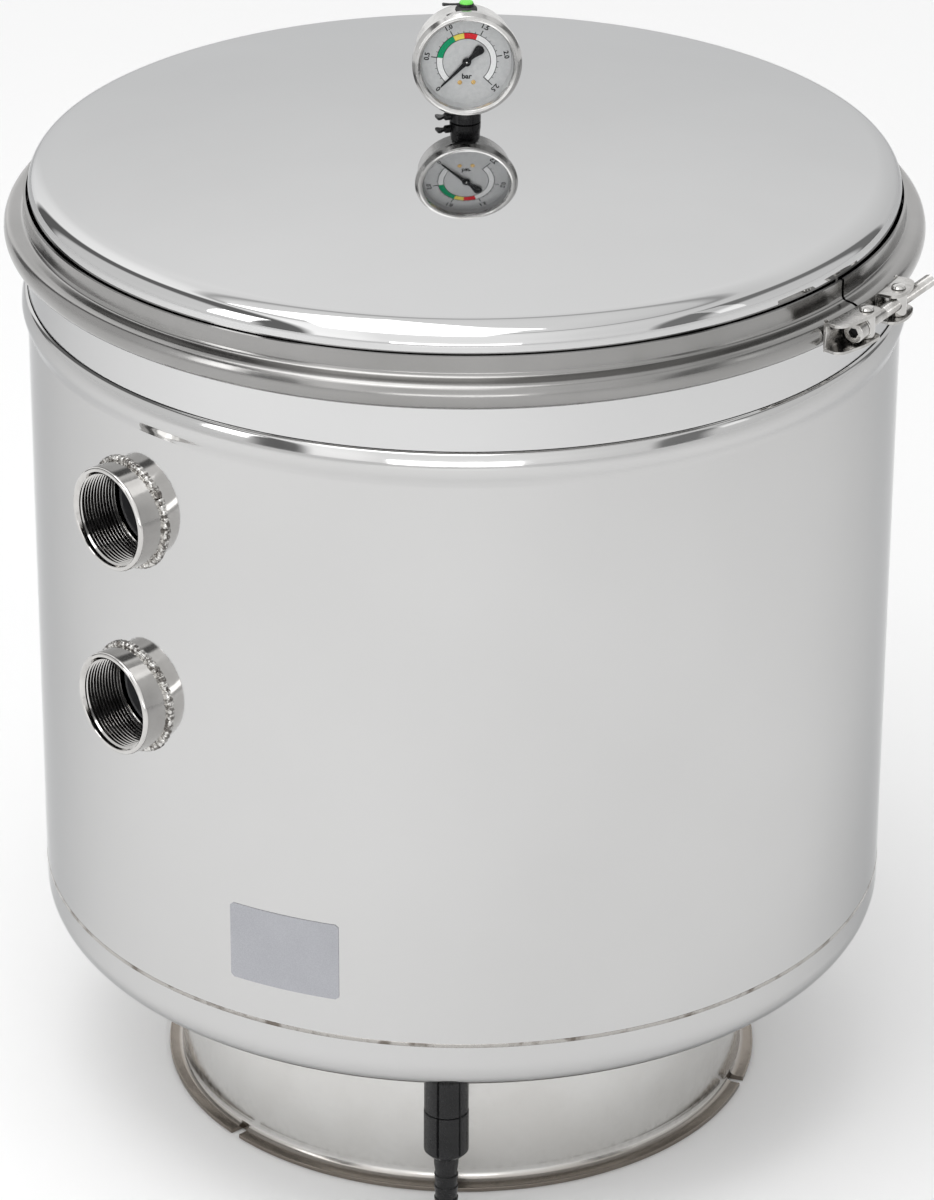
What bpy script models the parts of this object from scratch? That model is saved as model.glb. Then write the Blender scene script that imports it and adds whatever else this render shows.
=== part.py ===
"""Stainless steel filter vessel with a clamped lid, a dial gauge and a plastic drain tail.

The vessel stands on its foot ring with the axis along +Z and the floor at z = 0.
The front faces -Y. An azimuth is measured from the front, positive towards +X.
"""
import math

import bmesh
import bpy
from mathutils import Matrix, Vector

# ---------------------------------------------------------------- driving dimensions (metres)
GAP = 0.0003                      # clearance between faces that touch
STEEL = 0.002                     # sheet thickness of the vessel
BIG_TURN = 40                     # facets round the vessel
SMALL_TURN = 14                   # facets round fittings
HALF_BAND_TURN = 22               # facets along each half of the clamp band
KNUCKLE_STEPS = 4                 # facets along the bottom head's knuckle
CROWN_STEPS = 3                   # facets along a crown, edge to middle

BODY_RADIUS = 0.275
FOOT_RADIUS = 0.1971
FOOT_WALL_RADIUS = 0.1868
FOOT_THICKNESS = 0.0028
FOOT_SLOTS = (-48.6, 71.4, 191.4)
FOOT_SLOT_WIDTH = 0.005
SEAM_Z = 0.1563                   # girth weld between shell and bottom head
HEAD_KNUCKLE = 0.0232
HEAD_TANGENT_Z = 0.1422
CROWN_EDGE_SLOPE = math.radians(10)

BEAD_Z = 0.548                    # rolled bead at the top of the shell
BEAD_RADIUS = 0.2785
NECK_RADIUS = 0.2745
NECK_BOTTOM_Z = 0.528
RIM_Z = 0.592                     # underside of the neck's rim flange
RIM_RADIUS = 0.2822
RIM_THICKNESS = 0.0035
SEAL_THICKNESS = 0.0054

LID_FLANGE_Z = RIM_Z + RIM_THICKNESS + SEAL_THICKNESS + 2 * GAP
LID_SKIRT_RADIUS = 0.2725
LID_TANGENT_Z = 0.6235
LID_EDGE_ARC = 0.012              # tight arc at the lid's edge, up to 60 degrees
LID_SHOULDER_ARC = 0.030          # wider arc from 60 to 80 degrees

CLAMP_RADIUS = 0.288
CLAMP_SHEET = 0.0016
CLOSURE_AZ = 57.6                 # azimuth of the clamp's closure
CLOSURE_Z = 0.5985
SCREW_LINE = 0.2965               # distance of the screw's line from the vessel's axis
PIN_OFFSET = 0.020                # each swivel pin's distance from the closure's middle
SPLIT_AZ = (55.0, 55.5)           # the two ends of the band
HINGE_RADIUS = 0.2895             # bending point of the band, opposite the closure
LUG_LEFT_AZ = (47.6, 55.3)
LUG_RIGHT_AZ = (58.8, 64.8)
LUG_HALF = 0.0095                 # half the height of a lug's channel, outside
LUG_SHEET = 0.0020
LUG_REACH = 0.3045
PIN_RADIUS = 0.0055
PIN_NECK = 0.0030
PIN_HEAD = 0.0045
PIN_BORE = 0.0044
SCREW_RADIUS = 0.0040
SCREW_HEAD_RADIUS = 0.0065
SCREW_HEAD = (-0.0359, -0.0279)   # places along the screw, from the closure's middle
SCREW_END = 0.0615
HEX_RADIUS = 0.0034
WASHER_RADIUS = 0.0070
WASHER = (-0.0276, -0.0260)

SOCKET_AZ = -47.5
SOCKET_OUTER = 0.033
SOCKET_BORE = 0.0284
SOCKET_FACE = 0.292               # distance of the socket's mouth from the axis
SOCKET_INNER_END = 0.262
SOCKET_TURN = 24
SOCKET_CHAMFER = 0.0018
WELD_WIDTH = 0.0050
SOCKET_HEIGHTS = {"upper": 0.4775, "lower": 0.3525}

PIPE_RADIUS = 0.025
PIPE_WALL = 0.002
PIPE_BEND = 0.060
FUNNEL_Z = 0.5530
FUNNEL_RADIUS = 0.070
FUNNEL_HEIGHT = 0.030
HUB_RADIUS = 0.045
HUB_Z = (0.1120, 0.1500)          # bottom and top of the collector's hub
HUB_FLOOR = 0.004
LATERAL_COUNT = 6
LATERAL_FIRST_AZ = 30
LATERAL_Z = 0.1310
LATERAL_RADIUS = 0.0115
LATERAL_WALL = 0.0022
LATERAL_CAP = 0.003
LATERAL_END = 0.205

DRAIN_X = -0.0092
DRAIN_Y = -0.2280
DRAIN_HOLE = 0.0108
DRAIN_STUB = 0.0105               # radius of the welded stub, and of the parts inside the nut
DRAIN_STUB_TOP = 0.1240
STRAINER_TOP = 0.1440
COLLAR_Z = (0.0823, 0.1082)
COLLAR_RADIUS = 0.0141
NUT_BOTTOM = 0.0500
NUT_RADIUS = 0.0143
GRIP_RIBS = 6
TAIL_Z = (0.0078, 0.0687)
TAIL_BORE = 0.0045

GAUGE_Z = 0.703
GAUGE_YAW = math.radians(4)
GAUGE_RADIUS = 0.034
CASE_RADIUS = 0.0309
DIAL_RADIUS = 0.0290
DIAL_DEPTH = (0.0105, 0.0112)     # depths are measured forward from the gauge's middle
HAND_DEPTH = (0.0125, 0.0132)
WINDOW_DEPTH = (0.0155, 0.0169)
ZERO_ANGLE = math.radians(-135)   # the hand at rest, from the top of the dial
PLUG_FORWARD = 0.0055
LEVER_HEIGHT = (0.0345, 0.0356)
LID_HOLE = 0.0085
BOSS_RADIUS = 0.0130
BOSS_DEPTH = 0.0170
FITTING_RADIUS = 0.0095
FITTING_BORE = 0.0052
FITTING_HEIGHT = 0.0074
BLEED_DIRECTION = (-1.0, -0.35, 0.0)

LABEL_AZ = (-31.3, -15.9)
LABEL_Z = (0.1830, 0.2355)
LABEL_SHEET = 0.0004
WELD_HALF_WIDTH = 0.0025          # half the girth weld's width
WELD_HEIGHT = 0.0008

# ---------------------------------------------------------------- finishes
FINISHES = {
    "polished_steel": ((0.78, 0.78, 0.77), 0.10, 1.0),
    "satin_steel": ((0.60, 0.59, 0.57), 0.34, 1.0),
    "weld_metal": ((0.62, 0.60, 0.56), 0.42, 1.0),
    "bright_steel": ((0.74, 0.73, 0.71), 0.18, 1.0),
    "black_plastic": ((0.018, 0.018, 0.020), 0.42, 0.0),
    "black_rubber": ((0.025, 0.025, 0.025), 0.75, 0.0),
    "green_plastic": ((0.30, 0.75, 0.16), 0.35, 0.0),
    "grey_film": ((0.60, 0.62, 0.66), 0.45, 0.0),
    "dial_silver": ((0.72, 0.72, 0.72), 0.40, 0.3),
    "window": ((0.90, 0.93, 0.93), 0.05, 0.0),
    "brass": ((0.72, 0.52, 0.24), 0.30, 1.0),
    "white_plastic": ((0.78, 0.78, 0.75), 0.50, 0.0),
}


def finish(name):
    """Return the material for a finish, made on first use."""
    material = bpy.data.materials.get(name)
    if material:
        return material
    colour, roughness, metallic = FINISHES[name]
    material = bpy.data.materials.new(name)
    material.use_nodes = True
    shader = material.node_tree.nodes["Principled BSDF"]
    shader.inputs["Base Color"].default_value = (*colour, 1.0)
    shader.inputs["Roughness"].default_value = roughness
    shader.inputs["Metallic"].default_value = metallic
    material.diffuse_color = (*colour, 1.0)
    return material


# ---------------------------------------------------------------- modelling helpers
def clear_scene():
    for item in list(bpy.data.objects):
        bpy.data.objects.remove(item, do_unlink=True)


def add_object(name, mesh_data, look, place=None, parent=None):
    """Turn a bmesh into a named, shaded object at a placement matrix."""
    bmesh.ops.remove_doubles(mesh_data, verts=mesh_data.verts, dist=1e-6)
    bmesh.ops.recalc_face_normals(mesh_data, faces=mesh_data.faces)
    mesh = bpy.data.meshes.new(name)
    mesh_data.to_mesh(mesh)
    mesh_data.free()
    mesh.shade_smooth()
    mesh.set_sharp_from_angle(angle=math.radians(32))
    item = bpy.data.objects.new(name, mesh)
    bpy.context.scene.collection.objects.link(item)
    if look:
        mesh.materials.append(finish(look))
    if parent:
        item.parent = parent
    if place:
        item.matrix_local = place
    return item


def add_empty(name, place, parent=None):
    item = bpy.data.objects.new(name, None)
    bpy.context.scene.collection.objects.link(item)
    if parent:
        item.parent = parent
    item.matrix_local = place
    bpy.context.view_layer.update()
    return item


def flat(azimuth, radius, z=0.0):
    """A point at an azimuth in degrees from the front, at a radius from the axis."""
    angle = math.radians(azimuth)
    return Vector((radius * math.sin(angle), -radius * math.cos(angle), z))


def arc(centre, radius, start, end, steps):
    """Points (r, z) on an arc; angles in degrees from the outward direction."""
    points = []
    for step in range(steps + 1):
        angle = math.radians(start + (end - start) * step / steps)
        points.append((centre[0] + radius * math.cos(angle), centre[1] + radius * math.sin(angle)))
    return points


def turned(profile, facets):
    """Turn a closed (r, z) outline about the local Z axis; points with r = 0 are on the axis."""
    mesh = bmesh.new()
    rings = []
    for radius, height in profile:
        if radius < 1e-9:
            rings.append([mesh.verts.new((0.0, 0.0, height))] * facets)
            continue
        ring = []
        for index in range(facets):
            angle = 2 * math.pi * index / facets
            ring.append(mesh.verts.new((radius * math.cos(angle), radius * math.sin(angle), height)))
        rings.append(ring)
    for number, ring in enumerate(rings):
        other = rings[(number + 1) % len(rings)]
        for index in range(facets):
            following = (index + 1) % facets
            corners = [ring[index], ring[following], other[following], other[index]]
            distinct = list(dict.fromkeys(corners))
            if len(distinct) > 2:
                mesh.faces.new(distinct)
    return mesh


def lofted(sections):
    """Join a row of equal-length closed sections (lists of points) and cap both ends."""
    mesh = bmesh.new()
    rows = [[mesh.verts.new(point) for point in section] for section in sections]
    count = len(rows[0])
    for row, following in zip(rows, rows[1:]):
        for index in range(count):
            after = (index + 1) % count
            mesh.faces.new((row[index], row[after], following[after], following[index]))
    mesh.faces.new(rows[0])
    mesh.faces.new(list(reversed(rows[-1])))
    return mesh


def part_turned(profile, az_start, az_end, facets):
    """Sweep a closed (r, z) outline round the vessel's axis between two azimuths."""
    sections = []
    for index in range(facets + 1):
        azimuth = az_start + (az_end - az_start) * index / facets
        sections.append([flat(azimuth, radius, height) for radius, height in profile])
    return lofted(sections)


def pipe(path, outer, inner, facets):
    """A hollow pipe along a path of points in one plane or space, open at both ends."""
    mesh = bmesh.new()
    points = [Vector(point) for point in path]
    side = None
    rows = []
    for index, point in enumerate(points):
        before = points[max(index - 1, 0)]
        after = points[min(index + 1, len(points) - 1)]
        along = (after - before).normalized()
        if side is None:
            side = along.orthogonal().normalized()
        side = (side - along * side.dot(along)).normalized()
        across = along.cross(side)
        row = []
        for radius in (outer, inner):
            ring = []
            for facet in range(facets):
                angle = 2 * math.pi * facet / facets
                offset = side * (radius * math.cos(angle)) + across * (radius * math.sin(angle))
                ring.append(mesh.verts.new(point + offset))
            row.append(ring)
        rows.append(row)
    for row, following in zip(rows, rows[1:]):
        for layer in range(2):
            for facet in range(facets):
                other = (facet + 1) % facets
                mesh.faces.new((row[layer][facet], row[layer][other],
                                following[layer][other], following[layer][facet]))
    for row in (rows[0], rows[-1]):
        for facet in range(facets):
            other = (facet + 1) % facets
            mesh.faces.new((row[0][facet], row[0][other], row[1][other], row[1][facet]))
    return mesh


def solid_outline(outline, bottom, top):
    """Extrude a closed (x, y) outline between two heights."""
    return lofted([[(x, y, bottom) for x, y in outline], [(x, y, top) for x, y in outline]])


def cut(target, mesh_data, place, name, operation="DIFFERENCE"):
    """Cut a target with a hidden cutter object."""
    cutter = add_object(name, mesh_data, None, place)
    cutter.hide_render = True
    cutter.display_type = "WIRE"
    modifier = target.modifiers.new(name, "BOOLEAN")
    modifier.operation = operation
    modifier.solver = "EXACT"
    modifier.object = cutter
    return cutter


def rod(radius, bottom, top, facets=SMALL_TURN):
    return turned([(0, top), (radius, top), (radius, bottom), (0, bottom)], facets)


def toward(direction, origin=(0, 0, 0)):
    """A placement whose local Z axis points along a direction."""
    turn = Vector(direction).to_track_quat("Z", "Y").to_matrix().to_4x4()
    return Matrix.Translation(origin) @ turn


def crown(edge_radius, edge_z, slope, sign, steps, hole=0.0):
    """Points of a shallow dish from its edge to the middle, or to a hole's edge."""
    radius = edge_radius / math.sin(slope)
    base = edge_z - sign * radius * math.cos(slope)
    points = []
    for step in range(1, steps + 1):
        reach = edge_radius + (hole - edge_radius) * step / steps
        points.append((reach, base + sign * math.sqrt(radius ** 2 - reach ** 2)))
    return points


# ---------------------------------------------------------------- vessel
def make_shell():
    """The cylindrical jacket with the rolled bead at its top edge."""
    outer = BODY_RADIUS
    inner = BODY_RADIUS - STEEL
    bulge = BEAD_RADIUS                # the bead's line is given by heights above its middle
    profile = [(outer, SEAM_Z + GAP), (outer, BEAD_Z - 0.0120), (bulge - 0.0007, BEAD_Z - 0.0045),
               (bulge, BEAD_Z), (bulge - 0.0019, BEAD_Z + 0.0085), (outer + 0.0003, BEAD_Z + 0.0105),
               (outer - 0.0001, BEAD_Z + 0.0090), (bulge - 0.0018, BEAD_Z),
               (bulge - 0.0023, BEAD_Z - 0.0035), (inner, BEAD_Z - 0.0105), (inner, SEAM_Z + GAP)]
    shell = add_object("shell_jacket", turned(profile, BIG_TURN), "polished_steel")
    axis = flat(SOCKET_AZ, 1.0)
    for label, height in SOCKET_HEIGHTS.items():
        place = toward(axis, (0, 0, height))
        hole = rod(SOCKET_OUTER + GAP, SOCKET_INNER_END - 0.02, SOCKET_FACE, SOCKET_TURN)
        cut(shell, hole, place, "cutter_shell_" + label)


def make_neck():
    """The neck ring that is let into the shell and carries the rim flange."""
    outer = NECK_RADIUS
    inner = NECK_RADIUS - STEEL
    tail = BODY_RADIUS - STEEL - 2 * GAP
    profile = [(tail, NECK_BOTTOM_Z), (tail, 0.5500), (outer - 0.0003, 0.5578), (outer, 0.5600),
               (outer, RIM_Z - 0.0030), (outer + 0.0020, RIM_Z), (RIM_RADIUS, RIM_Z),
               (RIM_RADIUS, RIM_Z + RIM_THICKNESS), (inner, RIM_Z + RIM_THICKNESS), (inner, 0.5600),
               (tail - STEEL, 0.5500), (tail - STEEL, NECK_BOTTOM_Z)]
    add_object("neck_ring", turned(profile, BIG_TURN), "polished_steel")


def head_profile(offset):
    """Outer or inner line of the bottom head, from its top edge to the middle."""
    centre = (BODY_RADIUS - HEAD_KNUCKLE, HEAD_TANGENT_Z)
    knuckle = arc(centre, HEAD_KNUCKLE - offset, 0, -80, KNUCKLE_STEPS)
    edge_radius, edge_z = knuckle[-1]
    return [(BODY_RADIUS - offset, SEAM_Z - GAP)] + knuckle + crown(edge_radius, edge_z,
                                                                  CROWN_EDGE_SLOPE, -1, CROWN_STEPS)


def head_height(radius):
    """Height of the bottom head's outer face at a radius within its crown."""
    edge_radius, edge_z = head_profile(0.0)[KNUCKLE_STEPS + 1]
    sphere = edge_radius / math.sin(CROWN_EDGE_SLOPE)
    return edge_z + sphere * math.cos(CROWN_EDGE_SLOPE) - math.sqrt(sphere ** 2 - radius ** 2)


def make_head():
    profile = head_profile(0.0) + list(reversed(head_profile(STEEL)))
    head = add_object("bottom_head", turned(profile, BIG_TURN), "polished_steel")
    place = Matrix.Translation((DRAIN_X, DRAIN_Y, 0))
    cut(head, rod(DRAIN_HOLE, 0.09, 0.15), place, "cutter_drain_hole")


def make_girth_weld():
    face = BODY_RADIUS + GAP
    crest = face + WELD_HEIGHT
    flat_half = 0.6 * WELD_HALF_WIDTH
    profile = [(face, SEAM_Z - WELD_HALF_WIDTH), (crest, SEAM_Z - flat_half),
               (crest, SEAM_Z + flat_half), (face, SEAM_Z + WELD_HALF_WIDTH)]
    add_object("girth_weld_bead", turned(profile, BIG_TURN), "weld_metal")


def make_foot():
    """The foot ring: a cylinder under the bottom head with a flanged, slotted foot."""
    wall = FOOT_WALL_RADIUS
    top = head_height(wall - STEEL) - 2 * GAP
    profile = [(wall, top), (wall, 0.0062), (wall + 0.0012, 0.0038), (wall + 0.0036, FOOT_THICKNESS),
               (FOOT_RADIUS, FOOT_THICKNESS), (FOOT_RADIUS, 0.0), (wall + 0.0015, 0.0),
               (wall - STEEL, 0.0050), (wall - STEEL, top)]
    ring = add_object("foot_ring", turned(profile, BIG_TURN), "satin_steel")
    for number, azimuth in enumerate(FOOT_SLOTS):
        half = FOOT_SLOT_WIDTH / 2
        block = [(-half, wall + 0.0040), (half, wall + 0.0040), (half, 0.21), (-half, 0.21)]
        turn = Matrix.Rotation(math.radians(azimuth + 180), 4, "Z")
        cut(ring, solid_outline(block, -0.01, 0.01), turn, "cutter_foot_slot_%d" % (number + 1))


def make_sockets():
    """Two threaded sockets on one side, each with the weld bead round its root."""
    axis = flat(SOCKET_AZ, 1.0)
    for label, height in SOCKET_HEIGHTS.items():
        place = toward(axis, (0, 0, height))
        chamfer = SOCKET_CHAMFER
        profile = [(SOCKET_OUTER, SOCKET_INNER_END), (SOCKET_OUTER, SOCKET_FACE - 0.0010),
                   (SOCKET_OUTER - 0.0010, SOCKET_FACE), (SOCKET_BORE + chamfer, SOCKET_FACE),
                   (SOCKET_BORE, SOCKET_FACE - chamfer), (SOCKET_BORE, SOCKET_INNER_END)]
        add_object(label + "_socket", turned(profile, SOCKET_TURN), "bright_steel", place)
        root = SOCKET_OUTER + GAP
        toe = root + WELD_WIDTH
        bead = [(root, 0.2660), (toe, 0.2660), (toe, 0.2745), (root + 0.0022, 0.2778), (root, 0.2795)]
        weld = add_object(label + "_socket_weld", turned(bead, SOCKET_TURN), "weld_metal", place)
        wall = rod(BODY_RADIUS + GAP, height - 2 * SOCKET_OUTER, height + 2 * SOCKET_OUTER, 96)
        cut(weld, wall, Matrix(), "cutter_weld_" + label)


def make_label():
    """A plain rectangular film sticker on the shell."""
    inner = BODY_RADIUS + GAP
    outer = inner + LABEL_SHEET
    profile = [(inner, LABEL_Z[0]), (outer, LABEL_Z[0]), (outer, LABEL_Z[1]), (inner, LABEL_Z[1])]
    add_object("plain_sticker", part_turned(profile, LABEL_AZ[0], LABEL_AZ[1], 6), "grey_film")


# ---------------------------------------------------------------- inside the vessel
def bend_path(start_radius, height, end_z, way):
    """From a socket straight to the middle, round a bend, then up (+1) or down (-1)."""
    points = [flat(SOCKET_AZ, start_radius, height), flat(SOCKET_AZ, PIPE_BEND, height)]
    for step in range(1, 5):
        angle = math.radians(22.5 * step)
        reach = PIPE_BEND * (1 - math.sin(angle))
        rise = way * PIPE_BEND * (1 - math.cos(angle))
        points.append(flat(SOCKET_AZ, reach, height + rise))
    points.append(Vector((0, 0, end_z)))
    return points


def make_internals():
    bore = PIPE_RADIUS - PIPE_WALL
    start = SOCKET_INNER_END - GAP
    hub_bottom, hub_top = HUB_Z
    inlet = bend_path(start, SOCKET_HEIGHTS["upper"], FUNNEL_Z - GAP, 1)
    add_object("inlet_pipe", pipe(inlet, PIPE_RADIUS, bore, 14), "white_plastic")
    outlet = bend_path(start, SOCKET_HEIGHTS["lower"], hub_top + GAP, -1)
    add_object("outlet_pipe", pipe(outlet, PIPE_RADIUS, bore, 14), "white_plastic")
    brim = FUNNEL_Z + FUNNEL_HEIGHT
    funnel = [(PIPE_RADIUS, FUNNEL_Z), (FUNNEL_RADIUS, brim), (FUNNEL_RADIUS - 0.0020, brim + 0.0015),
              (bore, FUNNEL_Z + 0.0020), (bore, FUNNEL_Z)]
    add_object("inlet_funnel", turned(funnel, 20), "white_plastic")
    floor = hub_bottom + HUB_FLOOR
    hub = [(0, hub_bottom), (HUB_RADIUS, hub_bottom), (HUB_RADIUS, hub_top), (bore, hub_top),
           (bore, floor), (0, floor)]
    hub_item = add_object("collector_hub", turned(hub, 18), "white_plastic")
    for index in range(LATERAL_COUNT):
        azimuth = LATERAL_FIRST_AZ + 360 * index / LATERAL_COUNT
        place = toward(flat(azimuth, 1.0), (0, 0, LATERAL_Z))
        name = "lateral_%d" % (index + 1)
        lateral_bore = LATERAL_RADIUS - LATERAL_WALL
        cut(hub_item, rod(lateral_bore + 0.0002, 0.015, 0.060, 10), place, "cutter_" + name)
        start_at = HUB_RADIUS + 2 * GAP
        cap_at = LATERAL_END - LATERAL_CAP
        tube = [(LATERAL_RADIUS, start_at), (LATERAL_RADIUS, LATERAL_END), (0, LATERAL_END),
                (0, cap_at), (lateral_bore, cap_at), (lateral_bore, start_at)]
        add_object(name, turned(tube, 10), "white_plastic", place)


# ---------------------------------------------------------------- drain tail
def ribbed(radius, groove, ribs, bottom, top, bore, chamfer, facets_per_rib=2):
    """A round grip with shallow flutes between flat ribs, bored through."""
    outline = []
    for rib in range(ribs):
        for step in range(facets_per_rib + 1):
            angle = 2 * math.pi * (rib + 0.12 + 0.76 * step / facets_per_rib) / ribs
            outline.append((angle, radius))
        outline.append((2 * math.pi * (rib + 1) / ribs, radius - groove))

    def ring(height, inset):
        return [((reach - inset) * math.cos(angle), (reach - inset) * math.sin(angle), height)
                for angle, reach in outline]

    def hole(height):
        return [(bore * math.cos(angle), bore * math.sin(angle), height) for angle, _ in outline]

    mesh = bmesh.new()
    loops = [ring(bottom, chamfer), ring(bottom + chamfer, 0.0), ring(top, 0.0), hole(top), hole(bottom)]
    rows = [[mesh.verts.new(point) for point in loop] for loop in loops]
    count = len(outline)
    for number, row in enumerate(rows):
        other = rows[(number + 1) % len(rows)]
        for index in range(count):
            after = (index + 1) % count
            mesh.faces.new((row[index], row[after], other[after], other[index]))
    return mesh


def make_drain():
    """A welded stub with a strainer above, and the collar, nut and hose tail below."""
    place = Matrix.Translation((DRAIN_X, DRAIN_Y, 0))
    collar_bottom, collar_top = COLLAR_Z
    bore = 0.0050
    start = collar_top + GAP
    stub = [(DRAIN_STUB, start), (DRAIN_STUB, DRAIN_STUB_TOP), (0.0078, DRAIN_STUB_TOP), (0.0078, start)]
    add_object("drain_stub", turned(stub, SMALL_TURN), "satin_steel", place)
    foot = DRAIN_STUB_TOP + GAP
    roof = STRAINER_TOP - 0.0025
    cap = [(0.0120, foot), (0.0120, STRAINER_TOP), (0, STRAINER_TOP), (0, roof), (0.0098, roof),
           (0.0098, foot)]
    add_object("drain_strainer", turned(cap, SMALL_TURN), "white_plastic", place)
    grip = ribbed(COLLAR_RADIUS, 0.0009, GRIP_RIBS, collar_bottom, collar_top, bore, 0.0)
    collar = add_object("drain_adapter", grip, "black_plastic", place)
    spigot_end = 0.0700
    overlap = collar_bottom + 0.0007
    spigot = [(DRAIN_HOLE, spigot_end), (DRAIN_HOLE, overlap), (bore, overlap), (bore, spigot_end)]
    cut(collar, turned(spigot, SMALL_TURN), place, "cutter_adapter_spigot", "UNION")
    grip = ribbed(NUT_RADIUS, 0.0011, GRIP_RIBS, NUT_BOTTOM, collar_bottom - GAP, 0.0082, 0.0030)
    nut = add_object("drain_union_nut", grip, "black_plastic", place)
    cut(nut, rod(0.0112, 0.0652, 0.09), place, "cutter_nut_bore")
    tail_end, tail_top = TAIL_Z
    seal_bottom = tail_top + GAP
    seal_top = spigot_end - GAP
    seal = [(DRAIN_STUB, seal_bottom), (DRAIN_STUB, seal_top), (0.0055, seal_top), (0.0055, seal_bottom)]
    add_object("drain_seal", turned(seal, SMALL_TURN), "black_rubber", place)
    tail = [(DRAIN_STUB, tail_top), (DRAIN_STUB, 0.0655), (0.0078, 0.0655), (0.0078, 0.0490)]
    for barb in (0.0340, 0.0253, 0.0166):              # heights of the barbs' sharp rims
        tail += [(0.0069, barb + 0.0010), (0.0077, barb)]
    tail += [(0.0070, 0.0095), (0.0062, tail_end), (TAIL_BORE, tail_end), (TAIL_BORE, tail_top)]
    add_object("drain_hose_tail", turned(tail, SMALL_TURN), "black_plastic", place)


# ---------------------------------------------------------------- lid
def lid_profile(offset):
    """Outer or inner line of the lid from its skirt to the hole in the middle."""
    first_centre = (LID_SKIRT_RADIUS - LID_EDGE_ARC, LID_TANGENT_Z)
    first = arc(first_centre, LID_EDGE_ARC - offset, 0, 60, 3)
    shift = LID_SHOULDER_ARC - LID_EDGE_ARC
    second_centre = (first_centre[0] - shift * math.cos(math.radians(60)),
                     first_centre[1] - shift * math.sin(math.radians(60)))
    second = arc(second_centre, LID_SHOULDER_ARC - offset, 60, 80, 2)[1:]
    edge_radius, edge_z = second[-1]
    return first + second + crown(edge_radius, edge_z, CROWN_EDGE_SLOPE, 1, CROWN_STEPS, LID_HOLE)


def make_lid(carrier):
    flange_top = LID_FLANGE_Z + STEEL + GAP
    skirt = LID_SKIRT_RADIUS
    lower = [(skirt - STEEL, LID_FLANGE_Z), (RIM_RADIUS, LID_FLANGE_Z), (RIM_RADIUS, flange_top),
             (skirt + 0.0020, flange_top), (skirt + 0.0005, flange_top + 0.0016)]
    profile = lower + lid_profile(0.0) + list(reversed(lid_profile(STEEL)))
    place = carrier.matrix_world.inverted()
    add_object("lid", turned(profile, BIG_TURN), "polished_steel", place, carrier)
    under = lid_profile(STEEL)[-1][1] - GAP
    end = under - BOSS_DEPTH
    boss = [(LID_HOLE, under), (LID_HOLE, end), (BOSS_RADIUS, end), (BOSS_RADIUS, under - 0.0004)]
    add_object("gauge_boss", turned(boss, SMALL_TURN), "bright_steel", place, carrier)


def make_seal():
    bottom = RIM_Z + RIM_THICKNESS + GAP
    top = bottom + SEAL_THICKNESS
    outer = RIM_RADIUS - 0.0010
    inner = 0.2700
    profile = [(inner, bottom), (outer, bottom), (outer, top), (inner, top)]
    add_object("lid_gasket", turned(profile, BIG_TURN), "black_rubber")


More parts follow.
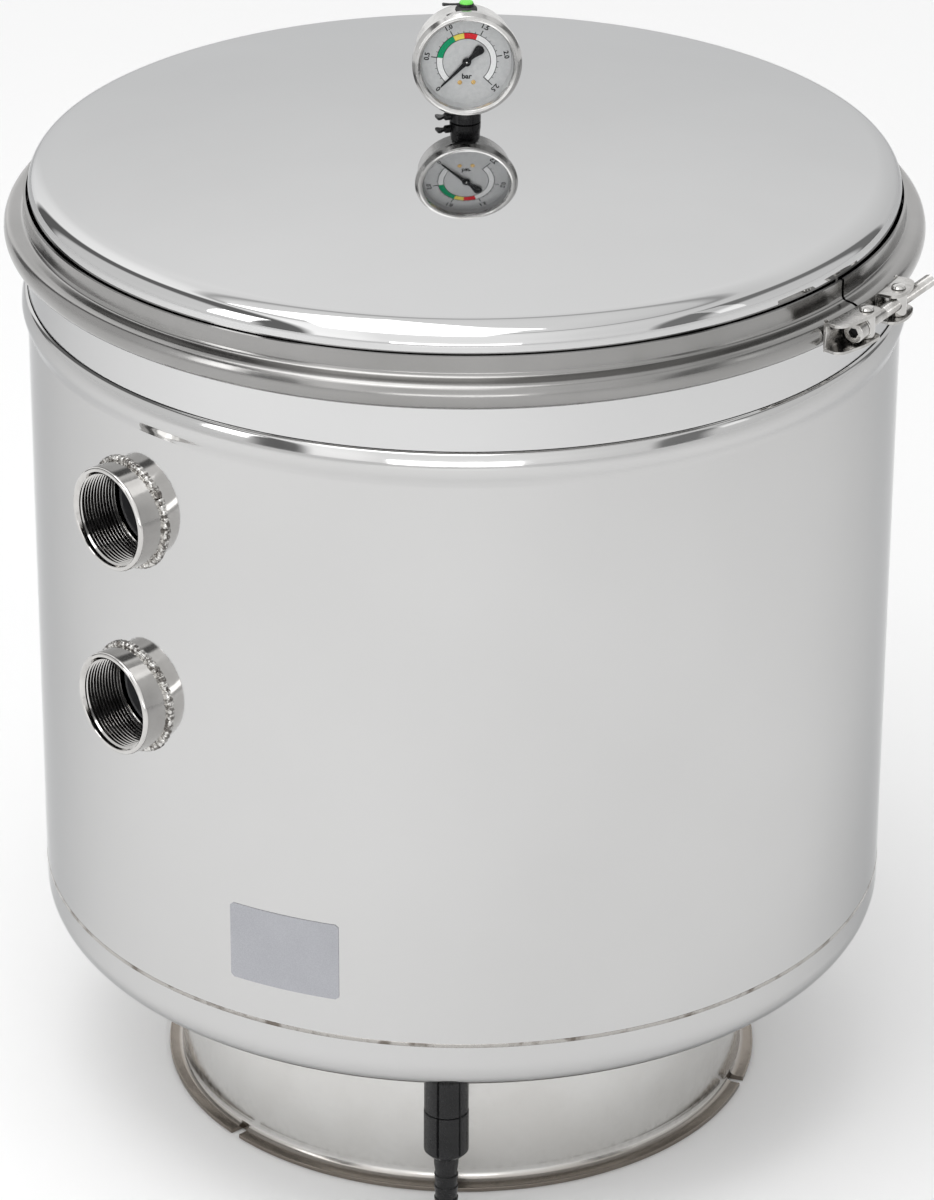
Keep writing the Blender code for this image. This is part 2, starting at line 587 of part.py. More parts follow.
def make_bleed_and_gauge(carrier):
    """The bleed fitting in the lid's middle and the dial gauge that is screwed into it."""
    back = carrier.matrix_world.inverted()
    lid_top = lid_profile(0.0)[-1][1]
    seat = lid_top + GAP
    root = seat - BOSS_DEPTH
    top = seat + FITTING_HEIGHT
    thread = LID_HOLE - GAP
    fitting = [(FITTING_BORE, root), (thread, root), (thread, seat), (FITTING_RADIUS, seat),
               (FITTING_RADIUS, top), (FITTING_BORE, top)]
    add_object("bleed_fitting", turned(fitting, 12), "black_plastic", back, carrier)

    gauge = add_empty("gauge_frame", back @ Matrix.Translation((0, 0, GAUGE_Z))
                      @ Matrix.Rotation(GAUGE_YAW, 4, "Z"), carrier)
    ahead = Matrix.Rotation(math.radians(90), 4, "X")      # local Z of a turned piece faces the front
    bezel = [(0.0313, 0.0125), (GAUGE_RADIUS, 0.0125), (GAUGE_RADIUS, 0.0165), (0.0330, 0.0195),
             (0.0310, 0.0205), (0.0290, 0.0200), (0.0284, 0.0185), (0.0284, 0.0172), (0.0313, 0.0172)]
    add_object("gauge_bezel", turned(bezel, 24), "bright_steel", ahead, gauge)
    back_face, front_face = WINDOW_DEPTH
    window = [(0.0310, back_face), (0.0310, front_face), (0, front_face), (0, back_face)]
    add_object("gauge_window", turned(window, 24), "window", ahead, gauge)
    case = [(0, -0.0100), (0.0290, -0.0100), (CASE_RADIUS, -0.0080), (CASE_RADIUS, 0.0152),
            (0.0297, 0.0152), (0.0297, -0.0078), (0.0285, -0.0088), (0, -0.0088)]
    case_item = add_object("gauge_case", turned(case, 24), "satin_steel", ahead, gauge)
    cut(case_item, rod(0.0058, -0.035, -0.025, 12), gauge.matrix_world, "cutter_stem_hole")
    plug_place = Matrix.Translation((0, -PLUG_FORWARD, 0))
    cut(case_item, rod(0.0034, 0.025, 0.035, 12), gauge.matrix_world @ plug_place, "cutter_plug_hole")
    dial_back, dial_face = DIAL_DEPTH
    dial = [(0.0013, dial_back), (DIAL_RADIUS, dial_back), (DIAL_RADIUS, dial_face), (0.0013, dial_face)]
    add_object("gauge_dial", turned(dial, 24), "dial_silver", ahead, gauge)

    stem = [(0, -0.0560), (0.0048, -0.0560), (0.0048, -0.0350), (0.0055, -0.0350), (0.0055, -0.0200),
            (0, -0.0200)]
    add_object("gauge_stem", turned(stem, 12), "brass", Matrix(), gauge)
    coil = []
    for step in range(11):
        angle = math.radians(-80 + 260 * step / 10)
        coil.append((0.0185 * math.cos(angle), -0.0005, 0.0185 * math.sin(angle)))
    add_object("bourdon_tube", pipe(coil, 0.0014, 0.0008, 6), "brass", Matrix(), gauge)
    plate = [(-0.006, -0.008), (0.006, -0.008), (0.006, 0.009), (-0.006, 0.009)]
    movement = add_object("gauge_movement", solid_outline(plate, 0.0050, 0.0062), "brass", ahead, gauge)
    cut(movement, rod(0.0013, 0.002, 0.009, 12), gauge.matrix_world @ ahead, "cutter_movement_bore")

    plug = [(0, 0.0342), (0.0046, 0.0342), (0.0062, 0.0330), (0.0064, 0.0313), (0.0031, 0.0313),
            (0.0031, 0.0285), (0, 0.0285)]
    add_object("vent_plug", turned(plug, SMALL_TURN), "black_rubber", plug_place, gauge)
    return gauge, ahead, plug_place, seat


def make_pointer(gauge, ahead):
    """The dial's hand at zero: lower left, turning clockwise through 270 degrees."""
    hand = add_empty("pointer_axis", ahead @ Matrix.Rotation(-ZERO_ANGLE, 4, "Z"), gauge)
    outline = [(-0.0007, 0.0020), (-0.0003, 0.0225), (0.0003, 0.0225), (0.0007, 0.0020),
               (0.0020, 0.0020), (0.0028, 0.0), (0.0020, -0.0020), (0.0010, -0.0030),
               (0.0028, -0.0095), (0.0024, -0.0125), (0.0, -0.0134), (-0.0024, -0.0125),
               (-0.0028, -0.0095), (-0.0010, -0.0030), (-0.0020, -0.0020), (-0.0028, 0.0),
               (-0.0020, 0.0020)]
    plate = solid_outline(outline, *HAND_DEPTH)
    pointer = add_object("gauge_pointer", plate, "black_plastic", Matrix(), hand)
    shaft = rod(0.0009, 0.0065, HAND_DEPTH[0] + GAP, 10)
    cut(pointer, shaft, hand.matrix_world, "cutter_pointer_shaft", "UNION")


def make_vent_lever(gauge, plug_place):
    """The small lever on the vent plug and the green cap over its hub."""
    lever = add_empty("lever_axis", plug_place, gauge)
    outline = []
    for step in range(13):
        angle = math.radians(-160 + 320 * step / 12)
        outline.append((0.0048 * math.cos(angle), 0.0048 * math.sin(angle)))
    outline += [(-0.0130, 0.0012), (-0.0145, 0.0022), (-0.0145, -0.0022), (-0.0130, -0.0012)]
    add_object("vent_lever", solid_outline(outline, *LEVER_HEIGHT), "black_plastic", Matrix(), lever)
    base = LEVER_HEIGHT[1] + GAP
    cap = [(0, base), (0.0044, base), (0.0044, base + 0.0007), (0.0032, base + 0.0015), (0, base + 0.0017)]
    add_object("vent_cap", turned(cap, 16), "green_plastic", Matrix(), lever)


def make_bleed_screw(carrier, seat):
    """The wing screw on the left of the bleed fitting; it turns about a level axis."""
    axis = Vector(BLEED_DIRECTION).normalized()
    place = toward(axis, (0, 0, seat + 0.0040))
    screw = add_empty("bleed_axis", carrier.matrix_world.inverted() @ place, carrier)
    stem = add_object("bleed_screw", rod(0.0026, 0.0102, 0.0135, 12), "black_plastic", Matrix(), screw)
    wing = [(-0.0036, -0.0009), (0.0036, -0.0009), (0.0036, 0.0009), (-0.0036, 0.0009)]
    cut(stem, solid_outline(wing, 0.0125, 0.0190), screw.matrix_world, "cutter_bleed_wing", "UNION")


# ---------------------------------------------------------------- clamp
def clamp_profile():
    """Closed outline of the band: a standing collar on a channel that grips both flanges."""
    outer = [(0.2758, 0.6195), (0.2758, 0.6092), (0.2768, 0.6074), (0.2790, 0.6066), (0.2832, 0.6060),
             (0.2862, 0.6042), (0.2878, 0.6012), (CLAMP_RADIUS, 0.5975), (0.2870, 0.5935),
             (0.2848, 0.5907), (0.2815, 0.5890), (0.2766, 0.5890)]
    sheet = CLAMP_SHEET
    inner = [(0.2766, 0.5890 + sheet), (0.2812, 0.5890 + sheet), (0.2839, 0.5919), (0.2856, 0.5943),
             (CLAMP_RADIUS - sheet, 0.5975), (0.2863, 0.6005), (0.2850, 0.6030), (0.2826, 0.6044),
             (0.2785, 0.6050), (0.2757, 0.6062), (0.2742, 0.6085), (0.2742, 0.6195)]
    return outer + inner


def lug(name, az_start, az_end, pin_side, carrier, back):
    """A channel bracket on the band, open outwards; the swivel pin passes through both plates."""
    wall_in = CLAMP_RADIUS + GAP
    wall_out = wall_in + LUG_SHEET
    half = LUG_HALF
    clear = half - LUG_SHEET
    stations = 6
    pin_az = CLOSURE_AZ + pin_side * math.degrees(math.atan2(PIN_OFFSET, SCREW_LINE))
    span = max(abs(az_start - pin_az), abs(az_end - pin_az))
    sections = []
    for index in range(stations + 1):
        azimuth = az_start + (az_end - az_start) * index / stations
        away = abs(azimuth - pin_az) / span
        reach = LUG_REACH - 0.0060 * away ** 2
        profile = [(reach, half), (wall_in + 0.0015, half), (wall_in, half - 0.0015),
                   (wall_in, -half + 0.0015), (wall_in + 0.0015, -half), (reach, -half),
                   (reach, -clear), (wall_out, -clear), (wall_out, clear), (reach, clear)]
        sections.append([flat(azimuth, radius, CLOSURE_Z + height) for radius, height in profile])
    bracket = add_object(name, lofted(sections), "satin_steel", back, carrier)
    place = Matrix.Translation(closure_point(pin_side * PIN_OFFSET))
    cut(bracket, rod(PIN_NECK + GAP, -0.02, 0.02, 10), place, "cutter_" + name)


def closure_point(along, lift=0.0):
    """A point on the screw's line, measured along it from the closure's middle."""
    angle = math.radians(CLOSURE_AZ)
    tangent = Vector((math.cos(angle), math.sin(angle), 0))
    return flat(CLOSURE_AZ, SCREW_LINE, CLOSURE_Z + lift) + tangent * along


def closure_axis():
    angle = math.radians(CLOSURE_AZ)
    return Vector((math.cos(angle), math.sin(angle), 0))


def swivel_pin(name, side, carrier):
    """A shouldered pin with riveted heads and a cross bore for the screw."""
    place = carrier.matrix_world.inverted() @ Matrix.Translation(closure_point(side * PIN_OFFSET))
    shoulder = LUG_HALF - LUG_SHEET - GAP
    head = LUG_HALF + GAP
    half = [(PIN_RADIUS, shoulder), (PIN_NECK, shoulder), (PIN_NECK, head), (PIN_HEAD, head),
            (PIN_HEAD - 0.0003, head + 0.0012), (0.0026, head + 0.0020), (0, head + 0.0022)]
    profile = list(reversed(half)) + [(radius, -height) for radius, height in half]
    pin = add_object(name, turned(profile, 12), "satin_steel", place, carrier)
    cross = toward(closure_axis(), closure_point(side * PIN_OFFSET))
    cut(pin, rod(PIN_BORE, -0.01, 0.01, 12), cross, "cutter_" + name)


def make_clamp():
    back_az = CLOSURE_AZ - 180
    hinge = Matrix.Translation(flat(back_az, HINGE_RADIUS))
    slack = math.degrees(GAP / CLAMP_RADIUS)
    left = add_empty("clamp_left_hinge", hinge)
    right = add_empty("clamp_right_hinge", hinge)
    back = hinge.inverted()
    half = part_turned(clamp_profile(), back_az + slack, SPLIT_AZ[0], HALF_BAND_TURN)
    add_object("clamp_band_left", half, "satin_steel", back, left)
    half = part_turned(clamp_profile(), SPLIT_AZ[1], back_az + 360 - slack, HALF_BAND_TURN)
    add_object("clamp_band_right", half, "satin_steel", back, right)
    lug("clamp_lug_left", *LUG_LEFT_AZ, -1, left, back)
    lug("clamp_lug_right", *LUG_RIGHT_AZ, 1, right, back)
    swivel_pin("swivel_pin_left", -1, left)
    swivel_pin("swivel_pin_right", 1, right)
    make_screw(left)


def make_screw(carrier):
    """Socket-head cap screw and its washer on the closure's line."""
    world = toward(closure_axis(), closure_point(0.0))
    place = carrier.matrix_world.inverted() @ world
    head_start, head_end = SCREW_HEAD
    radius = SCREW_RADIUS
    head = SCREW_HEAD_RADIUS
    tip = 0.0008
    shank = [(0, SCREW_END), (radius - tip, SCREW_END), (radius, SCREW_END - tip), (radius, head_end),
             (head, head_end), (head, head_start + 0.0006), (head - 0.0006, head_start), (0, head_start)]
    screw = add_object("clamp_screw", turned(shank, 18), "bright_steel", place, carrier)
    cut(screw, rod(HEX_RADIUS, head_start - 0.002, head_start + 0.004, 6), world, "cutter_screw_socket")
    inner, outer = WASHER
    bore = radius + GAP
    washer = [(WASHER_RADIUS, inner), (WASHER_RADIUS, outer), (bore, outer), (bore, inner)]
    add_object("screw_washer", turned(washer, 18), "bright_steel", place, carrier)


def main():
    clear_scene()
    make_shell()
    make_neck()
    make_head()
    make_girth_weld()
    make_foot()
    make_sockets()
    make_label()
    make_internals()
    make_drain()
    make_seal()
    lid_carrier = add_empty("lid_slide", Matrix.Translation((0, 0, LID_FLANGE_Z)))
    make_lid(lid_carrier)
    gauge, ahead, plug_place, seat = make_bleed_and_gauge(lid_carrier)
    make_pointer(gauge, ahead)
    make_vent_lever(gauge, plug_place)
    make_bleed_screw(lid_carrier, seat)
    make_clamp()


main()
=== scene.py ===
"""The finished look of the clamped-lid filter vessel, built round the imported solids.

Metres, +Z up, the floor at z = 0 and the front facing -Y. An azimuth is in degrees from
the front, positive towards +X. Turned outlines are lists of (radius, height) points.
"""
import math

import bmesh
import bpy
from mathutils import Matrix, Vector, noise


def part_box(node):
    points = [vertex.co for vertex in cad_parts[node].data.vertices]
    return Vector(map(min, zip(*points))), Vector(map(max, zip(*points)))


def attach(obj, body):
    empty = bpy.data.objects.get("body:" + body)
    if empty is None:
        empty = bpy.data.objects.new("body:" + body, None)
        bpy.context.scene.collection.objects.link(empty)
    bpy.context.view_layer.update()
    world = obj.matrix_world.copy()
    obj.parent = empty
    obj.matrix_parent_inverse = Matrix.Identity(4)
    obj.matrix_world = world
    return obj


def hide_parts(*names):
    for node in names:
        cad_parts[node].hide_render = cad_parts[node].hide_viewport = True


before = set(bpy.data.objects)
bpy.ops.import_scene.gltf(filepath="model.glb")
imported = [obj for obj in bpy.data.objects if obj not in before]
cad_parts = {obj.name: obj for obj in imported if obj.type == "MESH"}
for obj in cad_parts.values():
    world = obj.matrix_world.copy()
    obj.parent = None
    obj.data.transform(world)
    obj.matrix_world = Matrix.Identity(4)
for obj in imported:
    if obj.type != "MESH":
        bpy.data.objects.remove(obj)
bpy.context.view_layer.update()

# ---------------------------------------------------------------- sizes (metres)
GAP = 0.0003
STEEL = 0.002
TURN = 256                        # facets round the vessel
MID_TURN = 96                     # facets round the sockets and the gauge
FINE_TURN = 48                    # facets round small fittings

BODY_RADIUS = 0.275
SEAM_Z = 0.1563
BEAD_Z = 0.548
BEAD_RADIUS = 0.2785
NECK_RADIUS = 0.2745
NECK_BOTTOM_Z = 0.528
RIM_Z = 0.592
RIM_RADIUS = 0.2822
RIM_THICKNESS = 0.0035
HEAD_KNUCKLE = 0.0232
HEAD_TANGENT_Z = 0.1422
CROWN_SLOPE = math.radians(10)
FOOT_RADIUS = 0.1971
FOOT_WALL = 0.1868
FOOT_SLOTS = (-48.6, 71.4, 191.4)
FOOT_SLOT_WIDTH = 0.0078

LID_FLANGE_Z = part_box("lid")[0].z
LID_SKIRT = 0.2725
LID_TANGENT_Z = 0.6235
LID_EDGE_ARC = 0.012
LID_SHOULDER_ARC = 0.030
LID_HOLE = 0.0085

CLOSURE_AZ = 57.6
CLOSURE_Z = 0.5985
CLAMP_RADIUS = 0.288
SCREW_LINE = 0.2965
PIN_OFFSET = 0.020
LUGS = {"left": (47.6, 55.3, -1), "right": (58.8, 64.8, 1)}
LUG_HALF = 0.0095
LUG_SHEET = 0.0020
LUG_REACH = 0.3045
SCREW_RADIUS = 0.0040
SCREW_HEAD = (-0.0359, -0.0279)
SCREW_END = 0.0615
SCREW_PITCH = 0.00125

SOCKET_AZ = -47.5
SOCKET_OUTER = 0.033
SOCKET_BORE = 0.0284
SOCKET_FACE = 0.292
SOCKET_END = 0.262
SOCKET_HEIGHTS = {"upper": 0.4775, "lower": 0.3525}
PIPE_THREAD_PITCH = 0.002309
PIPE_THREAD_DEPTH = 0.00135

PIPE_RADIUS = 0.025
PIPE_BORE = 0.023
PIPE_BEND = 0.060
FUNNEL_Z = 0.553
HUB_TOP = 0.150
LATERAL_Z = 0.131

DRAIN = Vector((-0.0092, -0.2280, 0.0))
LABEL_AZ = (-31.3, -15.9)
LABEL_Z = (0.1830, 0.2355)

GAUGE_Z = 0.703
GAUGE_YAW = math.radians(4)
LETTER_WEIGHT = 0.035             # added to a character's outline, as a share of its height
SCALE_START = 135.0               # degrees left of the dial's top at zero
SCALE_END_BAR = 2.5
CASE_UNDERSIDE_Z = GAUGE_Z - 0.0311
DIAL_FACE = 0.0112                # height of the dial's face in front of the gauge's middle
INK_BOTTOM = DIAL_FACE + 0.00002
LETTER_RISE = 0.00002
BLEED_AXIS = Vector((-1.0, -0.35, 0.0)).normalized()


# ---------------------------------------------------------------- materials
def add_node(tree, kind, inputs, **settings):
    """A shader node; an input is a value or another node's output."""
    node = tree.nodes.new("ShaderNode" + kind)
    for name, value in settings.items():
        setattr(node, name, value)
    for name, value in inputs.items():
        if hasattr(value, "is_output"):
            tree.links.new(value, node.inputs[name])
        else:
            node.inputs[name].default_value = value
    return node


def ring_vector(tree, vector):
    """Coordinates unrolled round the vessel's axis: along the circumference, 0, up."""
    parts = add_node(tree, "SeparateXYZ", {0: vector}).outputs
    back = add_node(tree, "Math", {0: parts["Y"], 1: -1.0}, operation="MULTIPLY")
    turn = add_node(tree, "Math", {0: parts["X"], 1: back.outputs[0]}, operation="ARCTAN2")
    along = add_node(tree, "Math", {0: turn.outputs[0], 1: BODY_RADIUS}, operation="MULTIPLY")
    return add_node(tree, "CombineXYZ", {"X": along.outputs[0], "Z": parts["Z"]}).outputs[0]


def noise_node(tree, vector, scale, detail=3.0):
    return add_node(tree, "TexNoise", {"Vector": vector, "Scale": scale, "Detail": detail}).outputs["Fac"]


def spread(tree, value, low, high, start=0.35, end=0.65):
    """Map the middle of a noise value onto a range."""
    inputs = {"Value": value, "From Min": start, "From Max": end, "To Min": low, "To Max": high}
    return add_node(tree, "MapRange", inputs).outputs["Result"]


def blend_colour(tree, amount, first, second, blend_type="MIX"):
    inputs = {0: amount, 6: first, 7: second}
    return add_node(tree, "Mix", inputs, data_type="RGBA", blend_type=blend_type).outputs[2]


def add_bump(tree, height, distance, before=None):
    inputs = {"Strength": 1.0, "Distance": distance, "Height": height}
    if before:
        inputs["Normal"] = before
    return add_node(tree, "Bump", inputs).outputs["Normal"]


def finish(name, colour, shade, rough, metallic=0.0, *, patches, grain, bump=0.0, wave=None,
           ring=False, sharp=(0.35, 0.65), **sockets):
    """A procedural finish.

    colour and shade are mixed in patches, rough is the roughness range that the grain moves
    between, patches and grain are noise scales per metre, bump is the grain's height, and
    wave is the (scale, height) of the slow unevenness of sheet metal.
    """
    material = bpy.data.materials.new(name)
    material.use_nodes = True
    tree = material.node_tree
    shader = tree.nodes["Principled BSDF"].inputs
    shader["Metallic"].default_value = metallic
    for socket, value in sockets.items():
        shader[socket.replace("_", " ")].default_value = value
    place = add_node(tree, "TexCoord", {}).outputs["Object"]
    if ring:
        place = ring_vector(tree, place)
    fine = noise_node(tree, place, grain)
    amount = spread(tree, noise_node(tree, place, patches, 4.0), 0.0, 1.0, *sharp)
    mixed = blend_colour(tree, amount, (*colour, 1.0), (*shade, 1.0))
    tree.links.new(mixed, shader["Base Color"])
    tree.links.new(spread(tree, fine, *rough), shader["Roughness"])
    normal = None
    if wave:
        normal = add_bump(tree, noise_node(tree, place, wave[0], 1.0), wave[1])
    if bump:
        normal = add_bump(tree, fine, bump, normal)
    if normal:
        tree.links.new(normal, shader["Normal"])
    return material


def tint_below(material, colour, low, high):
    """Darken a finish towards a colour below a height, as where a rim stays unpolished."""
    tree = material.node_tree
    base = tree.nodes["Principled BSDF"].inputs["Base Color"]
    place = add_node(tree, "TexCoord", {}).outputs["Object"]
    parts = add_node(tree, "SeparateXYZ", {0: place}).outputs
    amount = spread(tree, parts["Z"], 1.0, 0.0, low, high)
    tree.links.new(blend_colour(tree, amount, base.links[0].from_socket, (*colour, 1.0)), base)
    return material


GRAZING_TINT = (0.66, 0.665, 0.67, 1.0)


def make_looks():
    looks = {
        "shell": finish("polished shell", (0.585, 0.583, 0.58), (0.56, 0.558, 0.555), (0.06, 0.10),
                        1.0, patches=4, grain=90, wave=(2.2, 0.0009), Specular_Tint=GRAZING_TINT),
        "lid": finish("polished lid", (0.625, 0.625, 0.625), (0.60, 0.60, 0.60), (0.025, 0.04), 1.0,
                      patches=5, grain=120, wave=(3.0, 0.0002), Specular_Tint=GRAZING_TINT),
        "clamp": finish("satin clamp", (0.335, 0.33, 0.325), (0.28, 0.277, 0.27), (0.16, 0.23), 1.0,
                        patches=9, grain=60, wave=(26.0, 0.00008), ring=True),
        "lug": finish("satin lug", (0.56, 0.55, 0.535), (0.40, 0.39, 0.375), (0.14, 0.26), 1.0,
                      patches=90, grain=900, bump=0.000015),
        "weld": finish("weld bead", (0.62, 0.61, 0.59), (0.15, 0.14, 0.13), (0.07, 0.20), 1.0,
                       patches=380, grain=900, bump=0.00004, sharp=(0.46, 0.58)),
        "seam": finish("ground seam", (0.42, 0.405, 0.385), (0.17, 0.15, 0.13), (0.16, 0.30), 1.0,
                       patches=70, grain=700, bump=0.00004, sharp=(0.50, 0.64)),
        "turned": finish("turned steel", (0.62, 0.61, 0.595), (0.54, 0.53, 0.515), (0.05, 0.11), 1.0,
                         patches=60, grain=500, bump=0.000004),
        "bezel": finish("bezel steel", (0.58, 0.575, 0.565), (0.48, 0.475, 0.465), (0.11, 0.20), 1.0,
                        patches=80, grain=700, bump=0.000012),
        # The foot steel is lighter than the shell steel: painted light that makes up for the shadowed floor
        # it reflects.
        "foot": tint_below(finish("foot steel", (0.72, 0.715, 0.70), (0.66, 0.65, 0.63), (0.15, 0.26),
                                  1.0, patches=16, grain=260, wave=(4.0, 0.0008), bump=0.00002),
                           (0.25, 0.22, 0.19), 0.0030, 0.0085),
        "plastic": finish("black moulding", (0.006, 0.006, 0.0065), (0.010, 0.010, 0.011),
                          (0.22, 0.34), patches=60, grain=1400, bump=0.00002, Specular_IOR_Level=0.32),
        "rubber": finish("black rubber", (0.018, 0.018, 0.018), (0.030, 0.030, 0.030), (0.55, 0.75),
                         patches=40, grain=900, bump=0.00005),
        "green": finish("green cap", (0.16, 0.66, 0.09), (0.13, 0.58, 0.07), (0.22, 0.34),
                        patches=120, grain=900, bump=0.00001),
        "film": finish("sticker film", (0.335, 0.34, 0.365), (0.315, 0.32, 0.345), (0.22, 0.32),
                       patches=30, grain=1500, bump=0.000008, Coat_Weight=0.25, Coat_Roughness=0.12),
        "dial": finish("dial silver", (0.50, 0.50, 0.50), (0.455, 0.455, 0.46), (0.34, 0.48), 0.35,
                       patches=400, grain=2500, bump=0.000006),
        "brass": finish("brass", (0.70, 0.48, 0.20), (0.56, 0.36, 0.14), (0.22, 0.34), 1.0,
                        patches=200, grain=900, bump=0.00001),
        # The pipes' dark grey is painted shade: white plastic made dark to stand for the shadow inside the
        # sockets.
        "pipe": finish("pipe painted dark as shade", (0.085, 0.086, 0.09), (0.065, 0.066, 0.07), (0.34, 0.48),
                       patches=20, grain=600, bump=0.00003),
        "pvc": finish("white plastic", (0.76, 0.76, 0.73), (0.70, 0.70, 0.66), (0.34, 0.48),
                      patches=20, grain=600, bump=0.00003),
        "glass": finish("clear window", (0.97, 0.98, 0.98), (0.96, 0.975, 0.975), (0.0, 0.02),
                        patches=60, grain=500, Transmission_Weight=1.0, IOR=1.12),
    }
    inks = {"black": (0.010, 0.010, 0.011), "green": (0.004, 0.30, 0.13), "yellow": (0.80, 0.66, 0.12),
            "red": (0.66, 0.02, 0.03), "white": (0.80, 0.80, 0.80)}
    for ink, colour in inks.items():
        shade = tuple(0.9 * channel for channel in colour)
        looks["ink_" + ink] = finish(ink + " ink", colour, shade, (0.40, 0.55), patches=900, grain=3000,
                                     bump=0.000004, Specular_IOR_Level=0.15)
    return looks


LOOKS = make_looks()


# ---------------------------------------------------------------- mesh helpers
def wobble(place):
    """Smooth noise between about -1 and 1."""
    return noise.noise(Vector(place))


def flat(azimuth, radius, z=0.0):
    """A point at an azimuth from the front, at a radius from the vessel's axis."""
    angle = math.radians(azimuth)
    return Vector((radius * math.sin(angle), -radius * math.cos(angle), z))


def toward(direction, origin=(0, 0, 0)):
    """A placement whose local Z axis points along a direction."""
    return Matrix.Translation(origin) @ Vector(direction).to_track_quat("Z", "Y").to_matrix().to_4x4()


def arc(centre, radius, start, end, steps):
    """Points on an arc; angles in degrees from the outward direction."""
    angles = [math.radians(start + (end - start) * step / steps) for step in range(steps + 1)]
    return [(centre[0] + radius * math.cos(a), centre[1] + radius * math.sin(a)) for a in angles]


def crown(edge_radius, edge_z, sign, steps, hole=0.0):
    """Points of a shallow dish from its edge to the middle, or to a hole's edge."""
    radius = edge_radius / math.sin(CROWN_SLOPE)
    base = edge_z - sign * radius * math.cos(CROWN_SLOPE)
    reaches = [edge_radius + (hole - edge_radius) * step / steps for step in range(1, steps + 1)]
    return [(reach, base + sign * math.sqrt(radius ** 2 - reach ** 2)) for reach in reaches]


def filleted(outline, steps=4):
    """Round a closed outline's corners; a point is (x, y) or (x, y, corner radius)."""
    result = []
    count = len(outline)
    for index, point in enumerate(outline):
        here = Vector(point[:2])
        if len(point) < 3:
            result.append(tuple(here))
            continue
        before = Vector(outline[index - 1][:2]) - here
        after = Vector(outline[(index + 1) % count][:2]) - here
        reach = point[2] / math.tan(before.angle(after) / 2)
        reach = min(reach, 0.49 * before.length, 0.49 * after.length)
        start = here + before.normalized() * reach
        end = here + after.normalized() * reach
        for step in range(steps + 1):
            t = step / steps
            result.append(tuple(start * (1 - t) ** 2 + here * (2 * t * (1 - t)) + end * t * t))
    return result


def smooth(points, steps=5):
    """An open curve through points, with steps between each pair."""
    result = []
    vectors = [Vector(point) for point in points]
    vectors = [2 * vectors[0] - vectors[1]] + vectors + [2 * vectors[-1] - vectors[-2]]
    for a, b, c, d in zip(vectors, vectors[1:], vectors[2:], vectors[3:]):
        for step in range(steps):
            t = step / steps
            bend = (2 * a - 5 * b + 4 * c - d) * t * t + (3 * b - a - 3 * c + d) * t ** 3
            result.append(tuple((2 * b + (c - a) * t + bend) / 2))
    result.append(tuple(vectors[-2]))
    return result


def circle(mesh, radius, height, facets):
    """A ring of vertices about local Z; at radius 0 they are one vertex on the axis."""
    if radius < 1e-9:
        return [mesh.verts.new((0.0, 0.0, height))] * facets
    angles = [2 * math.pi * index / facets for index in range(facets)]
    return [mesh.verts.new((radius * math.cos(a), radius * math.sin(a), height)) for a in angles]


def turned(profile, facets=FINE_TURN):
    """Turn a closed outline about local Z, with round corners where its points name a radius."""
    mesh = bmesh.new()
    rings = [circle(mesh, radius, height, facets) for radius, height in filleted(profile)]
    stitch(mesh, rings + rings[:1])
    return mesh


def stitch(mesh, rings):
    """Fill between neighbouring closed rings of equal length."""
    count = len(rings[0])
    for ring, other in zip(rings, rings[1:]):
        for index in range(count):
            after = (index + 1) % count
            corners = list(dict.fromkeys((ring[index], ring[after], other[after], other[index])))
            if len(corners) > 2:
                mesh.faces.new(corners)


def lofted(sections):
    """Join closed sections of equal length and cap both ends."""
    mesh = bmesh.new()
    rings = [[mesh.verts.new(point) for point in section] for section in sections]
    stitch(mesh, rings)
    mesh.faces.new(rings[0])
    mesh.faces.new(list(reversed(rings[-1])))
    return mesh


def extruded(outline, bottom, top):
    return lofted([[(x, y, bottom) for x, y in outline], [(x, y, top) for x, y in outline]])


def tube(path, outer, inner, facets=FINE_TURN):
    """A pipe along a path, open at both ends; inner 0 makes it solid with flat ends."""
    mesh = bmesh.new()
    points = [Vector(point) for point in path]
    side = None
    layers = []
    for index, point in enumerate(points):
        along = (points[min(index + 1, len(points) - 1)] - points[max(index - 1, 0)]).normalized()
        if side is None:
            side = along.orthogonal().normalized()
        side = (side - along * side.dot(along)).normalized()
        across = along.cross(side)
        rings = []
        for radius in (outer, inner) if inner else (outer,):
            angles = [2 * math.pi * facet / facets for facet in range(facets)]
            rings.append([mesh.verts.new(point + (side * math.cos(a) + across * math.sin(a)) * radius)
                          for a in angles])
        layers.append(rings)
    stitch(mesh, [rings[0] for rings in layers])
    if inner:
        stitch(mesh, [rings[1] for rings in layers])
        stitch(mesh, layers[0])
        stitch(mesh, layers[-1])
    else:
        mesh.faces.new(layers[0][0])
        mesh.faces.new(list(reversed(layers[-1][0])))
    return mesh


